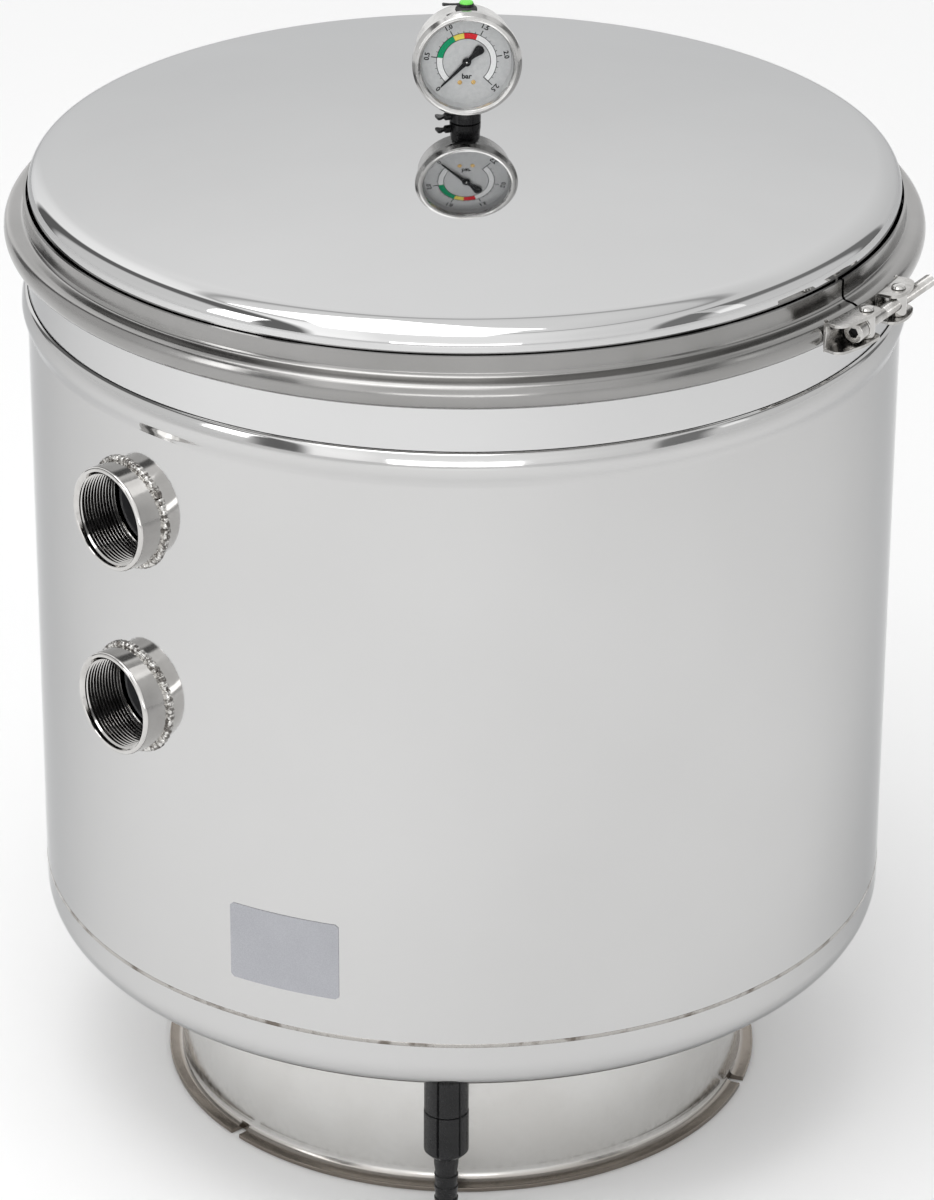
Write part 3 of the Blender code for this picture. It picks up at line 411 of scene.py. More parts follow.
def threaded(before, start, end, crest, root, pitch, after, facets):
    """A turned body whose outline has a helical thread between two heights.

    before and after are the outline's other points, before running up to the thread's
    start and after running on from its end.
    """
    mesh = bmesh.new()
    shape = ((0.0, root), (0.12, root), (0.44, crest), (0.56, crest), (0.88, root))
    made = {}

    def reach(height, column):
        phase = ((height - start) / pitch - column / facets) % 1.0
        for (at, value), (following, target) in zip(shape, shape[1:] + ((1.0, root),)):
            if phase <= following:
                return value + (target - value) * (phase - at) / (following - at)
        return root

    def vertex(column, turn, station):
        column_turn = column / facets
        height = start + (turn + shape[station][0] + column_turn) * pitch
        height = max(start, min(end, height))
        key = (column % facets, round(height, 8))
        if key not in made:
            radius = reach(height, column)
            if start < height < end:
                radius = shape[station][1]
            angle = 2 * math.pi * column / facets
            made[key] = mesh.verts.new((radius * math.cos(angle), radius * math.sin(angle), height))
        return made[key]

    turns = math.ceil((end - start) / pitch) + 1
    rows = [(turn, station) for turn in range(-1, turns) for station in range(len(shape))]
    for row, above in zip(rows, rows[1:] + [(turns, 0)]):
        for column in range(facets):
            corners = [vertex(column, *row), vertex(column + 1, *row),
                       vertex(column + 1, *above), vertex(column, *above)]
            distinct = list(dict.fromkeys(corners))
            if len(distinct) > 2:
                mesh.faces.new(distinct)

    first = [made[(column, round(start, 8))] for column in range(facets)]
    last = [made[(column, round(end, 8))] for column in range(facets)]
    leading = [circle(mesh, *point, facets) for point in before]
    trailing = [circle(mesh, *point, facets) for point in after]
    stitch(mesh, leading + [first])
    stitch(mesh, [last] + trailing)
    if before[0][0] > 1e-9:
        stitch(mesh, [trailing[-1], leading[0]])
    return mesh


def mesh_data(name, mesh):
    """Turn a bmesh into mesh data and free it."""
    data = bpy.data.meshes.new(name)
    mesh.to_mesh(data)
    mesh.free()
    return data


def place_object(name, data):
    item = bpy.data.objects.new(name, data)
    bpy.context.scene.collection.objects.link(item)
    return item


def add_piece(name, mesh, body, look, replaced=(), place=None, sharp=32):
    """Turn a bmesh into a shaded piece that rides on a body and stands for CAD nodes."""
    if place is not None:
        mesh.transform(place)
    bmesh.ops.remove_doubles(mesh, verts=mesh.verts, dist=2e-6)
    bmesh.ops.recalc_face_normals(mesh, faces=mesh.faces)
    data = mesh_data(name, mesh)
    data.shade_smooth()
    data.set_sharp_from_angle(angle=math.radians(sharp))
    data.materials.append(LOOKS[look])
    piece = place_object(name, data)
    piece.modifiers.new("even shading", "WEIGHTED_NORMAL").keep_sharp = True
    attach(piece, body)
    if replaced:
        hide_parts(*replaced)
    return piece


def add_turned(name, profile, body, look, replaced=(), place=None, facets=FINE_TURN):
    return add_piece(name, turned(profile, facets), body, look, replaced, place)


def bevelled(mesh, width, segments=2, angle=40):
    """Bevel a bmesh's edges that are sharper than an angle."""
    bmesh.ops.recalc_face_normals(mesh, faces=mesh.faces)
    edges = [edge for edge in mesh.edges if len(edge.link_faces) == 2
             and edge.calc_face_angle(0.0) > math.radians(angle)]
    bmesh.ops.bevel(mesh, geom=edges, offset=width, segments=segments, profile=0.5, affect="EDGES",
                    clamp_overlap=True)
    return mesh


def carve(mesh, cutters):
    """Cut closed meshes out of a mesh and return the result."""
    target = place_object("carved", mesh_data("carved", mesh))
    tools = []
    for cutter in cutters:
        bmesh.ops.recalc_face_normals(cutter, faces=cutter.faces)
        tool = place_object("tool", mesh_data("tool", cutter))
        modifier = target.modifiers.new("cut", "BOOLEAN")
        modifier.object = tool
        modifier.solver = "EXACT"
        tools.append(tool)
    bpy.context.view_layer.update()
    evaluated = target.evaluated_get(bpy.context.evaluated_depsgraph_get())
    result = bmesh.new()
    result.from_mesh(evaluated.to_mesh())
    evaluated.to_mesh_clear()
    for item in [target] + tools:
        bpy.data.objects.remove(item, do_unlink=True)
    return result


def rod(radius, bottom, top, facets=FINE_TURN, place=None):
    mesh = turned([(0, top), (radius, top), (radius, bottom), (0, bottom)], facets)
    bmesh.ops.recalc_face_normals(mesh, faces=mesh.faces)
    if place is not None:
        mesh.transform(place)
    return mesh


# ---------------------------------------------------------------- vessel
def make_shell():
    """The polished jacket with its rolled bead, holed for the two sockets."""
    outer = BODY_RADIUS
    inner = outer - STEEL
    bead = smooth([(outer, BEAD_Z - 0.0125), (outer + 0.0012, BEAD_Z - 0.0085),
                   (BEAD_RADIUS - 0.0006, BEAD_Z - 0.0040), (BEAD_RADIUS, BEAD_Z),
                   (BEAD_RADIUS - 0.0006, BEAD_Z + 0.0045), (BEAD_RADIUS - 0.0019, BEAD_Z + 0.0088),
                   (outer - 0.0002, BEAD_Z + 0.0106)])
    back = [(outer - 0.0004, BEAD_Z + 0.0092), (BEAD_RADIUS - 0.0026, BEAD_Z),
            (inner + 0.0006, BEAD_Z - 0.0085), (inner, BEAD_Z - 0.0125), (inner, SEAM_Z + GAP)]
    profile = [(outer, SEAM_Z + GAP), (outer, 0.28), (outer, 0.42)] + bead + back
    axis = flat(SOCKET_AZ, 1.0)
    holes = [rod(SOCKET_OUTER - 0.0005, 0.24, 0.30, MID_TURN, toward(axis, (0, 0, height)))
             for height in SOCKET_HEIGHTS.values()]
    add_piece("shell_wall", carve(turned(profile, TURN), holes), "vessel", "shell", ["shell_jacket"])


def make_neck():
    outer = NECK_RADIUS
    inner = outer - STEEL
    tail = BODY_RADIUS - STEEL - 2 * GAP
    top = RIM_Z + RIM_THICKNESS
    profile = [(tail, NECK_BOTTOM_Z, 0.0004)]
    profile += smooth([(tail, 0.5480), (outer - 0.0006, 0.5545), (outer, 0.5610)])
    profile += smooth([(outer, RIM_Z - 0.0060), (outer + 0.0004, RIM_Z - 0.0030),
                       (outer + 0.0018, RIM_Z - 0.0008), (outer + 0.0040, RIM_Z)])
    profile += [(RIM_RADIUS, RIM_Z, 0.0010), (RIM_RADIUS, top, 0.0010), (inner, top, 0.0012),
                (inner, 0.5610), (tail - STEEL, 0.5480), (tail - STEEL, NECK_BOTTOM_Z, 0.0004)]
    add_turned("neck_wall", profile, "vessel", "lid", ["neck_ring"], facets=TURN)


def head_line(offset):
    centre = (BODY_RADIUS - HEAD_KNUCKLE, HEAD_TANGENT_Z)
    knuckle = arc(centre, HEAD_KNUCKLE - offset, 0, -80, 16)
    return [(BODY_RADIUS - offset, SEAM_Z - GAP)] + knuckle + crown(*knuckle[-1], -1, 14)


def head_height(radius):
    """Height of the bottom head's outer face at a radius within its crown."""
    edge_radius, edge_z = head_line(0.0)[17]
    sphere = edge_radius / math.sin(CROWN_SLOPE)
    return edge_z + sphere * math.cos(CROWN_SLOPE) - math.sqrt(sphere ** 2 - radius ** 2)


def make_head():
    profile = head_line(0.0) + list(reversed(head_line(STEEL)))
    drain_hole = rod(0.0108, 0.09, 0.15, place=Matrix.Translation(DRAIN))
    mesh = carve(turned(profile, TURN), [drain_hole])
    add_piece("bottom_dish", mesh, "vessel", "shell", ["bottom_head"])


def make_girth_weld():
    """A ground-down bead: a faint low ridge with short uneven stretches."""
    mesh = bmesh.new()
    facets = 1100
    across = (-0.0013, -0.0010, -0.0006, -0.0002, 0.0002, 0.0006, 0.0010, 0.0013)
    outside = BODY_RADIUS + 0.00005
    rows = []
    for height in across:
        ring = []
        for index in range(facets):
            azimuth = 360 * index / facets
            wander = 0.0004 * wobble((azimuth * 0.05, 3.0, 0.0))
            crest = 1 - (abs(height) / across[-1]) ** 2
            ripple = wobble((azimuth * 0.31 * 5.0, height * 900, 7.0))
            broken = max(0.0, wobble((azimuth * 0.12, 11.0, 2.0)) - 0.12)
            rise = crest * (0.00008 + 0.0009 * broken * max(0.0, ripple))
            ring.append(mesh.verts.new(flat(azimuth, outside + rise, SEAM_Z + height + wander)))
        rows.append(ring)
    inner = [[mesh.verts.new(flat(360 * index / facets, BODY_RADIUS - 0.0006, SEAM_Z + height))
              for index in range(facets)] for height in (across[-1], across[0])]
    stitch(mesh, rows + inner + rows[:1])
    add_piece("girth_weld", mesh, "vessel", "seam", ["girth_weld_bead"], sharp=180)


def make_foot():
    """The foot ring, rolled out into a flange that is slotted through in three places."""
    wall = FOOT_WALL
    top = head_height(wall - STEEL) - GAP
    curve = smooth([(wall, 0.0110), (wall + 0.0004, 0.0078), (wall + 0.0016, 0.0050),
                    (wall + 0.0034, 0.0036)])
    lip = [(wall + 0.0044, 0.0030), (FOOT_RADIUS - 0.0014, 0.0028), (FOOT_RADIUS - 0.0006, 0.0031, 0.0004),
           (FOOT_RADIUS, 0.0027, 0.0004), (FOOT_RADIUS, 0.0, 0.0004), (wall + 0.0015, 0.0)]
    under = [(wall - 0.0008, 0.0016), (wall - STEEL, 0.0060), (wall - STEEL, top - 0.0003)]
    mesh = turned([(wall, top, 0.0002)] + curve + lip + under, TURN)
    slots = []
    half = FOOT_SLOT_WIDTH / 2
    near, far = wall + 0.0010, 0.21
    for azimuth in FOOT_SLOTS:
        slot = extruded([(-half, near), (half, near), (half, far), (-half, far)], -0.01, 0.02)
        slot.transform(Matrix.Rotation(math.radians(azimuth + 180), 4, "Z"))
        slots.append(slot)
    add_piece("foot_flange_ring", carve(mesh, slots), "vessel", "foot", ["foot_ring"])
    bead = [(wall + 0.0002, top - 0.0014, 0.0004), (wall + 0.0014, top + 0.0004, 0.0004),
            (wall - 0.0010, top + 0.0004)]
    add_turned("foot_ring_weld", bead, "vessel", "seam", facets=TURN)


def make_sockets():
    """Threaded sockets with a crisp helical pipe thread and a bead of overlapping weld pools."""
    axis = flat(SOCKET_AZ, 1.0)
    root = SOCKET_BORE + PIPE_THREAD_DEPTH
    outside = [(root + 0.0002, SOCKET_FACE - 0.0003), (root + 0.0006, SOCKET_FACE),
               (SOCKET_OUTER - 0.0013, SOCKET_FACE), (SOCKET_OUTER - 0.0007, SOCKET_FACE - 0.0004),
               (SOCKET_OUTER - 0.0002, SOCKET_FACE - 0.0011), (SOCKET_OUTER, SOCKET_FACE - 0.0020),
               (SOCKET_OUTER, SOCKET_END)]
    for label, height in SOCKET_HEIGHTS.items():
        mesh = threaded([(SOCKET_BORE, SOCKET_END)], SOCKET_END + 0.0006, SOCKET_FACE - 0.0022,
                        SOCKET_BORE, root, PIPE_THREAD_PITCH, outside, MID_TURN)
        add_piece(label + "_threaded_socket", mesh, "vessel", "turned", [label + "_socket"],
                  toward(axis, (0, 0, height)))
        make_socket_weld(label, height, axis)


def make_socket_weld(label, height, axis):
    """A ring of weld pools along the line where a socket meets the round wall."""
    tangent = Vector((-axis.y, axis.x, 0.0)) * -1
    stations, facets, pools = 560, 14, 54
    seed = 5.0 if label == "upper" else 9.0
    rings = []
    mesh = bmesh.new()
    for index in range(stations):
        angle = 2 * math.pi * index / stations
        outward = tangent * math.cos(angle) + Vector((0, 0, 1)) * math.sin(angle)
        wander = wobble((math.cos(angle) * 2.2, math.sin(angle) * 2.2, seed))
        small = wobble((math.cos(angle) * 21, math.sin(angle) * 21, seed))
        pool = (index * pools / stations + 0.35 * small) % 1.0
        radius = 0.0011 + 0.0012 * math.sqrt(max(0.0, 1 - (2 * pool - 1) ** 2)) + 0.0003 * wander
        centre_reach = SOCKET_OUTER + 0.0008 + 0.0003 * wander
        side = centre_reach * math.cos(angle)
        depth = math.sqrt(BODY_RADIUS ** 2 - side ** 2) + 0.0004
        centre = axis * depth + outward * centre_reach + Vector((0, 0, height))
        ring = []
        for facet in range(facets):
            turn = 2 * math.pi * facet / facets
            lump = 1 + 0.10 * wobble((angle * 14, facet * 0.9, seed))
            away = outward * math.cos(turn) + axis * math.sin(turn)
            ring.append(mesh.verts.new(centre + away * radius * lump))
        rings.append(ring)
    stitch(mesh, rings + rings[:1])
    add_piece(label + "_weld_pools", mesh, "vessel", "weld", [label + "_socket_weld"], sharp=60)


def make_sticker():
    """A blank film sticker with round corners, pressed onto the wall."""
    mesh = bmesh.new()
    columns, rows = 48, 30
    width = math.radians(LABEL_AZ[1] - LABEL_AZ[0]) * BODY_RADIUS
    tall = LABEL_Z[1] - LABEL_Z[0]
    corner = 0.0022
    layers = []
    for lift in (0.00045, 0.00010):
        grid = []
        for row in range(rows + 1):
            line = []
            for column in range(columns + 1):
                x = (column / columns - 0.5) * width
                z = (row / rows - 0.5) * tall
                inset_z = max(0.0, abs(z) - (tall / 2 - corner))
                limit = width / 2 - corner + math.sqrt(max(0.0, corner ** 2 - inset_z ** 2))
                x = max(-limit, min(limit, x))
                azimuth = (LABEL_AZ[0] + LABEL_AZ[1]) / 2 + math.degrees(x / BODY_RADIUS)
                line.append(mesh.verts.new(flat(azimuth, BODY_RADIUS + lift, sum(LABEL_Z) / 2 + z)))
            grid.append(line)
        layers.append(grid)
        for row in range(rows):
            for column in range(columns):
                mesh.faces.new((grid[row][column], grid[row][column + 1],
                                grid[row + 1][column + 1], grid[row + 1][column]))

    def edge(grid):
        bottom = grid[0][:-1]
        right = [line[-1] for line in grid[:-1]]
        top = list(reversed(grid[-1][1:]))
        left = [line[0] for line in reversed(grid[1:])]
        return bottom + right + top + left

    stitch(mesh, [edge(layers[0]), edge(layers[1])])
    add_piece("blank_sticker", mesh, "vessel", "film", ["plain_sticker"])


# ---------------------------------------------------------------- inside the vessel
def pipe_path(height, end_z, way):
    points = [flat(SOCKET_AZ, SOCKET_END - GAP, height), flat(SOCKET_AZ, 0.16, height)]
    for step in range(13):
        angle = math.radians(90 * step / 12)
        points.append(flat(SOCKET_AZ, PIPE_BEND * (1 - math.sin(angle)),
                           height + way * PIPE_BEND * (1 - math.cos(angle))))
    points.append(Vector((0, 0, end_z)))
    return points


def make_internals():
    """Plastic pipework: inlet and outlet bends in a dark grey that is painted shade for the sockets'
    shadowed mouths, white funnel, hub and slotted arms.
    """
    # The bends' dark look is painted shade for the shadow down the sockets' mouths.
    inlet = tube(pipe_path(SOCKET_HEIGHTS["upper"], FUNNEL_Z - GAP, 1), PIPE_RADIUS, PIPE_BORE)
    add_piece("inlet_bend", inlet, "vessel", "pipe", ["inlet_pipe"])
    outlet = tube(pipe_path(SOCKET_HEIGHTS["lower"], HUB_TOP + GAP, -1), PIPE_RADIUS, PIPE_BORE)
    add_piece("outlet_bend", outlet, "vessel", "pipe", ["outlet_pipe"])
    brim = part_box("inlet_funnel")[1].z
    funnel = [(PIPE_RADIUS, FUNNEL_Z), (PIPE_RADIUS + 0.0010, FUNNEL_Z + 0.0030),
              (0.0690, brim - 0.0022), (0.0700, brim - 0.0010, 0.0006), (0.0682, brim, 0.0006),
              (PIPE_BORE + 0.0006, FUNNEL_Z + 0.0022), (PIPE_BORE, FUNNEL_Z)]
    add_turned("inlet_spreader", funnel, "vessel", "pvc", ["inlet_funnel"], facets=MID_TURN)
    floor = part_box("collector_hub")[0].z
    hub = [(0, floor), (0.0445, floor, 0.0015), (0.0450, HUB_TOP, 0.0020), (PIPE_BORE, HUB_TOP, 0.0008),
           (PIPE_BORE, floor + 0.0040), (0, floor + 0.0040)]
    arms = [toward(flat(30 + 60 * index, 1.0), (0, 0, LATERAL_Z)) for index in range(6)]
    ports = [rod(0.0092, 0.015, 0.06, place=place) for place in arms]
    add_piece("hub_body", carve(turned(hub, MID_TURN), ports), "vessel", "pvc", ["collector_hub"])
    start, end, slot_pitch = 0.0456, 0.2050, 0.0040
    outline = [(0.0093, start), (0.0115, start)]
    at = start + 0.012
    while at < end - 0.012:
        outline += [(0.0115, at), (0.0101, at + 0.0003), (0.0101, at + 0.0009), (0.0115, at + 0.0012)]
        at += slot_pitch
    outline += [(0.0115, end, 0.0020), (0, end), (0, end - 0.003), (0.0093, end - 0.003)]
    for index, place in enumerate(arms):
        name = "lateral_%d" % (index + 1)
        add_turned("slotted_" + name, outline, "vessel", "pvc", [name], place, facets=32)


# ---------------------------------------------------------------- drain tail
def grip(radius, depth, bottom, top, bore, chamfer):
    """A round grip with six narrow grooves; the ribs' lower ends are chamfered."""
    steps = 96
    half_groove = 0.055
    turn_on = math.radians(8)

    def reach(angle, full):
        across = abs(((angle - turn_on) / (math.pi / 3) + 0.5) % 1.0 - 0.5) * math.pi / 3
        if across > half_groove:
            return full
        return min(full, radius - depth * math.cos(across / half_groove * math.pi / 2) ** 0.5)

    mesh = bmesh.new()
    levels = [(bottom, radius - chamfer), (bottom + 0.0004, radius - chamfer + 0.0004),
              (bottom + chamfer, radius - 0.0002), (bottom + chamfer + 0.0004, radius),
              (top - 0.0005, radius), (top - 0.0001, radius - 0.0003), (top, radius - 0.0006)]
    rings = []
    angles = [2 * math.pi * index / steps for index in range(steps)]
    for height, full in levels:
        rings.append([mesh.verts.new((reach(a, full) * math.cos(a), reach(a, full) * math.sin(a), height))
                      for a in angles])
    rings += [circle(mesh, bore, height, steps) for height in (top, bottom)]
    stitch(mesh, rings + rings[:1])
    return mesh


def make_drain():
    place = Matrix.Translation(DRAIN)
    low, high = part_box("drain_adapter")
    collar_bottom = 0.0823
    collar = grip(0.0141, 0.0012, collar_bottom, high.z, 0.0050, 0.0006)
    add_piece("drain_collar", collar, "vessel", "plastic", ["drain_adapter"], place)
    spigot_top = collar_bottom + 0.0005
    spigot = [(0.0106, low.z), (0.0106, spigot_top), (0.0050, spigot_top), (0.0050, low.z)]
    add_turned("drain_collar_spigot", spigot, "vessel", "plastic", place=place)
    nut_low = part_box("drain_union_nut")[0].z
    nut = grip(0.0143, 0.0013, nut_low, collar_bottom - GAP, 0.0112, 0.0030)
    add_piece("drain_nut_grip", nut, "nut", "plastic", ["drain_union_nut"], place)
    shelf = [(0.0114, nut_low + 0.0002), (0.0114, 0.0652), (0.0082, 0.0652),
             (0.0082, nut_low - 0.0002, 0.0006)]
    add_turned("drain_nut_shelf", shelf, "nut", "plastic", place=place)
    low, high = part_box("drain_hose_tail")
    outline = [(0.0105, high.z), (0.0105, 0.0655), (0.0079, 0.0655), (0.0079, 0.0430)]
    for rim in (0.0340, 0.0253, 0.0166):
        outline += [(0.0069, rim + 0.0009), (0.0077, rim + 0.0003, 0.0003), (0.0076, rim - 0.0006)]
    outline += [(0.0070, 0.0100), (0.0064, low.z, 0.0006), (0.0045, low.z, 0.0004), (0.0045, high.z)]
    add_turned("drain_barbed_tail", outline, "vessel", "plastic", ["drain_hose_tail"], place)
    low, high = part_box("drain_strainer")
    cap = [(0.0120, low.z), (0.0120, high.z, 0.0020), (0, high.z), (0, high.z - 0.0025),
           (0.0098, high.z - 0.0025), (0.0098, low.z)]
    add_turned("strainer_cap", cap, "vessel", "pvc", ["drain_strainer"], place)


# ---------------------------------------------------------------- lid
def lid_line(offset):
    first_centre = (LID_SKIRT - LID_EDGE_ARC, LID_TANGENT_Z)
    first = arc(first_centre, LID_EDGE_ARC - offset, 0, 60, 14)
    shift = LID_SHOULDER_ARC - LID_EDGE_ARC
    second_centre = (first_centre[0] - shift * 0.5, first_centre[1] - shift * math.sin(math.radians(60)))
    second = arc(second_centre, LID_SHOULDER_ARC - offset, 60, 80, 8)[1:]
    return first + second + crown(*second[-1], 1, 26, LID_HOLE)


def make_lid():
    flange_top = LID_FLANGE_Z + STEEL + GAP
    lower = [(LID_SKIRT - STEEL, LID_FLANGE_Z, 0.0008), (RIM_RADIUS, LID_FLANGE_Z, 0.0008),
             (RIM_RADIUS, flange_top, 0.0008), (LID_SKIRT + 0.0022, flange_top)]
    root = [(LID_SKIRT + 0.0010, flange_top + 0.0005), (LID_SKIRT + 0.0002, flange_top + 0.0016),
            (LID_SKIRT, flange_top + 0.0035)]
    profile = filleted(lower + root) + lid_line(0.0) + list(reversed(lid_line(STEEL)))
    add_turned("domed_lid", profile, "lid", "lid", ["lid"], facets=TURN)
    low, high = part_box("lid_gasket")
    seal = [(0.2700, low.z, 0.0015), (high.x, low.z, 0.0015), (high.x, high.z, 0.0015),
            (0.2700, high.z, 0.0015)]
    add_turned("gasket_ring", seal, "vessel", "rubber", ["lid_gasket"], facets=TURN)


# ---------------------------------------------------------------- gauge
def dial_point(reach, bar):
    """A point on the dial at a radius and a pressure in bar."""
    angle = math.radians(90 + SCALE_START - 2 * SCALE_START * bar / SCALE_END_BAR)
    return (reach * math.cos(angle), reach * math.sin(angle))


def ring_band(mesh, inner, outer, start, end, top):
    """A flat ring segment on the dial between two pressures."""
    steps = max(6, int(90 * (end - start)))
    sections = []
    for step in range(steps + 1):
        bar = start + (end - start) * step / steps
        a, b = dial_point(inner, bar), dial_point(outer, bar)
        sections.append([(*a, INK_BOTTOM), (*b, INK_BOTTOM), (*b, top), (*a, top)])
    join(mesh, lofted(sections))


def join(mesh, other):
    data = mesh_data("joined", other)
    mesh.from_mesh(data)
    bpy.data.meshes.remove(data)


def tick(mesh, inner, outer, bar, width, top):
    a, b = Vector(dial_point(inner, bar)), Vector(dial_point(outer, bar))
    side = Vector((-(b - a).y, (b - a).x)).normalized() * width / 2
    corners = [a - side, a + side, b + side, b - side]
    join(mesh, extruded([tuple(corner) for corner in corners], INK_BOTTOM, top))


def lettering(mesh, words, size, centre, turn):
    """Raised plain characters, centred on a point of the dial."""
    curve = bpy.data.curves.new("characters", "FONT")
    curve.body = words
    curve.size = size
    curve.align_x = "CENTER"
    curve.align_y = "CENTER"
    curve.extrude = LETTER_RISE
    curve.offset = LETTER_WEIGHT * size
    curve.resolution_u = 4
    item = place_object("characters", curve)
    bpy.context.view_layer.update()
    shape = bpy.data.meshes.new_from_object(item.evaluated_get(bpy.context.evaluated_depsgraph_get()))
    bpy.data.objects.remove(item, do_unlink=True)
    shape.transform(Matrix.Translation((*centre, INK_BOTTOM + LETTER_RISE)) @ Matrix.Rotation(turn, 4, "Z"))
    mesh.from_mesh(shape)
    bpy.data.meshes.remove(shape)


def make_dial(place):
    """The silver dial with its printed scale, coloured zones and two fixing screws."""
    disc = [(0.0013, DIAL_FACE - 0.0007), (0.0290, DIAL_FACE - 0.0007), (0.0290, DIAL_FACE),
            (0.0013, DIAL_FACE)]
    add_turned("dial_plate", disc, "lid", "dial", ["gauge_dial"], place, facets=MID_TURN)
    zones = (("white", 0.0, 0.5), ("green", 0.5, 1.0), ("yellow", 1.0, 1.2), ("red", 1.2, 1.45),
             ("white", 1.45, SCALE_END_BAR))
    for number, (colour, start, end) in enumerate(zones):
        mesh = bmesh.new()
        ring_band(mesh, 0.0150, 0.0184, start, end, DIAL_FACE + 0.00006)
        add_piece("dial_zone_%d" % (number + 1), mesh, "lid", "ink_" + colour, place=place)
    mesh = bmesh.new()
    top = DIAL_FACE + 0.00009
    for inner in (0.0146, 0.0184):
        ring_band(mesh, inner, inner + 0.0004, 0.0, SCALE_END_BAR, top)
    for step in range(26):
        start = 0.0147 if step in (0, 25) else 0.0185
        end, width = (0.0222, 0.00060) if step % 5 == 0 else (0.0199, 0.00034)
        tick(mesh, start, end, step / 10, width, top)
    for step in range(6):
        bar = step / 2
        turn = math.radians(SCALE_START - 2 * SCALE_START * bar / SCALE_END_BAR)
        lettering(mesh, "%.1f" % bar if step else "0", 0.0042, dial_point(0.0247, bar), turn)
    lettering(mesh, "bar", 0.0046, (0.0, -0.0098), 0.0)
    add_piece("dial_scale", mesh, "lid", "ink_black", place=place)
    head = [(0, DIAL_FACE + 0.0005), (0.0013, DIAL_FACE + 0.0005, 0.0003), (0.0015, DIAL_FACE),
            (0, DIAL_FACE)]
    for number, x in enumerate((-0.0042, 0.0042)):
        slot = extruded([(-0.002, -0.0002), (0.002, -0.0002), (0.002, 0.0002), (-0.002, 0.0002)],
                        DIAL_FACE + 0.0003, DIAL_FACE + 0.002)
        slot.transform(Matrix.Rotation(0.6 + number, 4, "Z"))
        screw = carve(turned(head, 24), [slot])
        screw.transform(Matrix.Translation((x, -0.0137, 0)))
        add_piece("dial_screw_%d" % (number + 1), screw, "lid", "brass", place=place)


def make_gauge():
    upright = Matrix.Translation((0, 0, GAUGE_Z)) @ Matrix.Rotation(GAUGE_YAW, 4, "Z")
    place = upright @ Matrix.Rotation(math.radians(90), 4, "X")
    make_dial(place)
    bezel = [(0.0318, 0.0125, 0.0003), (0.0334, 0.0125, 0.0006), (0.0340, 0.0136, 0.0008),
             (0.0339, 0.0166, 0.0016), (0.0322, 0.0200, 0.0012), (0.0306, 0.0205, 0.0008),
             (0.0292, 0.0199, 0.0006), (0.0284, 0.0180, 0.0004), (0.0284, 0.0172), (0.0313, 0.0172)]
    add_turned("crimped_bezel", bezel, "lid", "bezel", ["gauge_bezel"], place, facets=MID_TURN)
    window = [(0.0309, 0.0155), (0.0309, 0.0169), (0, 0.0169), (0, 0.0155)]
    window = add_turned("clear_window", window, "lid", "glass", ["gauge_window"], place, facets=MID_TURN)
    window.visible_shadow = False
    window.visible_diffuse = False
    case = [(0, -0.0100), (0.0286, -0.0100, 0.0030), (0.0309, -0.0080, 0.0020), (0.0309, 0.0060),
            (0.0312, 0.0066, 0.0004), (0.0312, 0.0090, 0.0004), (0.0309, 0.0096), (0.0309, 0.0152),
            (0.0297, 0.0152), (0.0297, -0.0078), (0.0285, -0.0088), (0, -0.0088)]
    add_turned("drawn_case", case, "lid", "bezel", ["gauge_case"], place, MID_TURN)
    rim = [(0.0276, 0.0112), (0.0296, 0.0112), (0.0296, 0.0155), (0.0288, 0.0155)]
    add_turned("dial_surround", rim, "lid", "dial", place=place, facets=MID_TURN)
    make_needle(place)
    make_vent(upright @ Matrix.Translation((0, -0.0055, 0)))
    make_bleed()


def make_needle(place):
    """A black needle at zero with a broad tail paddle and a light pin in its hub."""
    turn = Matrix.Rotation(math.radians(SCALE_START), 4, "Z")
    right = [(0.0003, 0.0228), (0.0007, 0.0150), (0.0011, 0.0060), (0.0014, 0.0026)]
    tail = smooth([(0.0012, -0.0028), (0.0015, -0.0055), (0.0025, -0.0088), (0.0031, -0.0112),
                   (0.0022, -0.0130), (0.0, -0.0137)], 4)
    side = right + tail
    outline = side + [(-x, y) for x, y in reversed(side) if x > 1e-6]
    mesh = bevelled(extruded(outline, 0.0125, 0.0131), 0.00012, 1)
    add_piece("needle", mesh, "pointer", "ink_black", ["gauge_pointer"], place @ turn)
    hub = [(0, 0.0137), (0.0026, 0.0137, 0.0004), (0.0028, 0.0126), (0, 0.0126)]
    add_turned("needle_hub", hub, "pointer", "ink_black", place=place)
    pin = [(0, 0.0140), (0.0007, 0.0140, 0.0003), (0.0007, 0.0132), (0, 0.0132)]
    add_turned("needle_pin", pin, "pointer", "turned", place=place, facets=20)


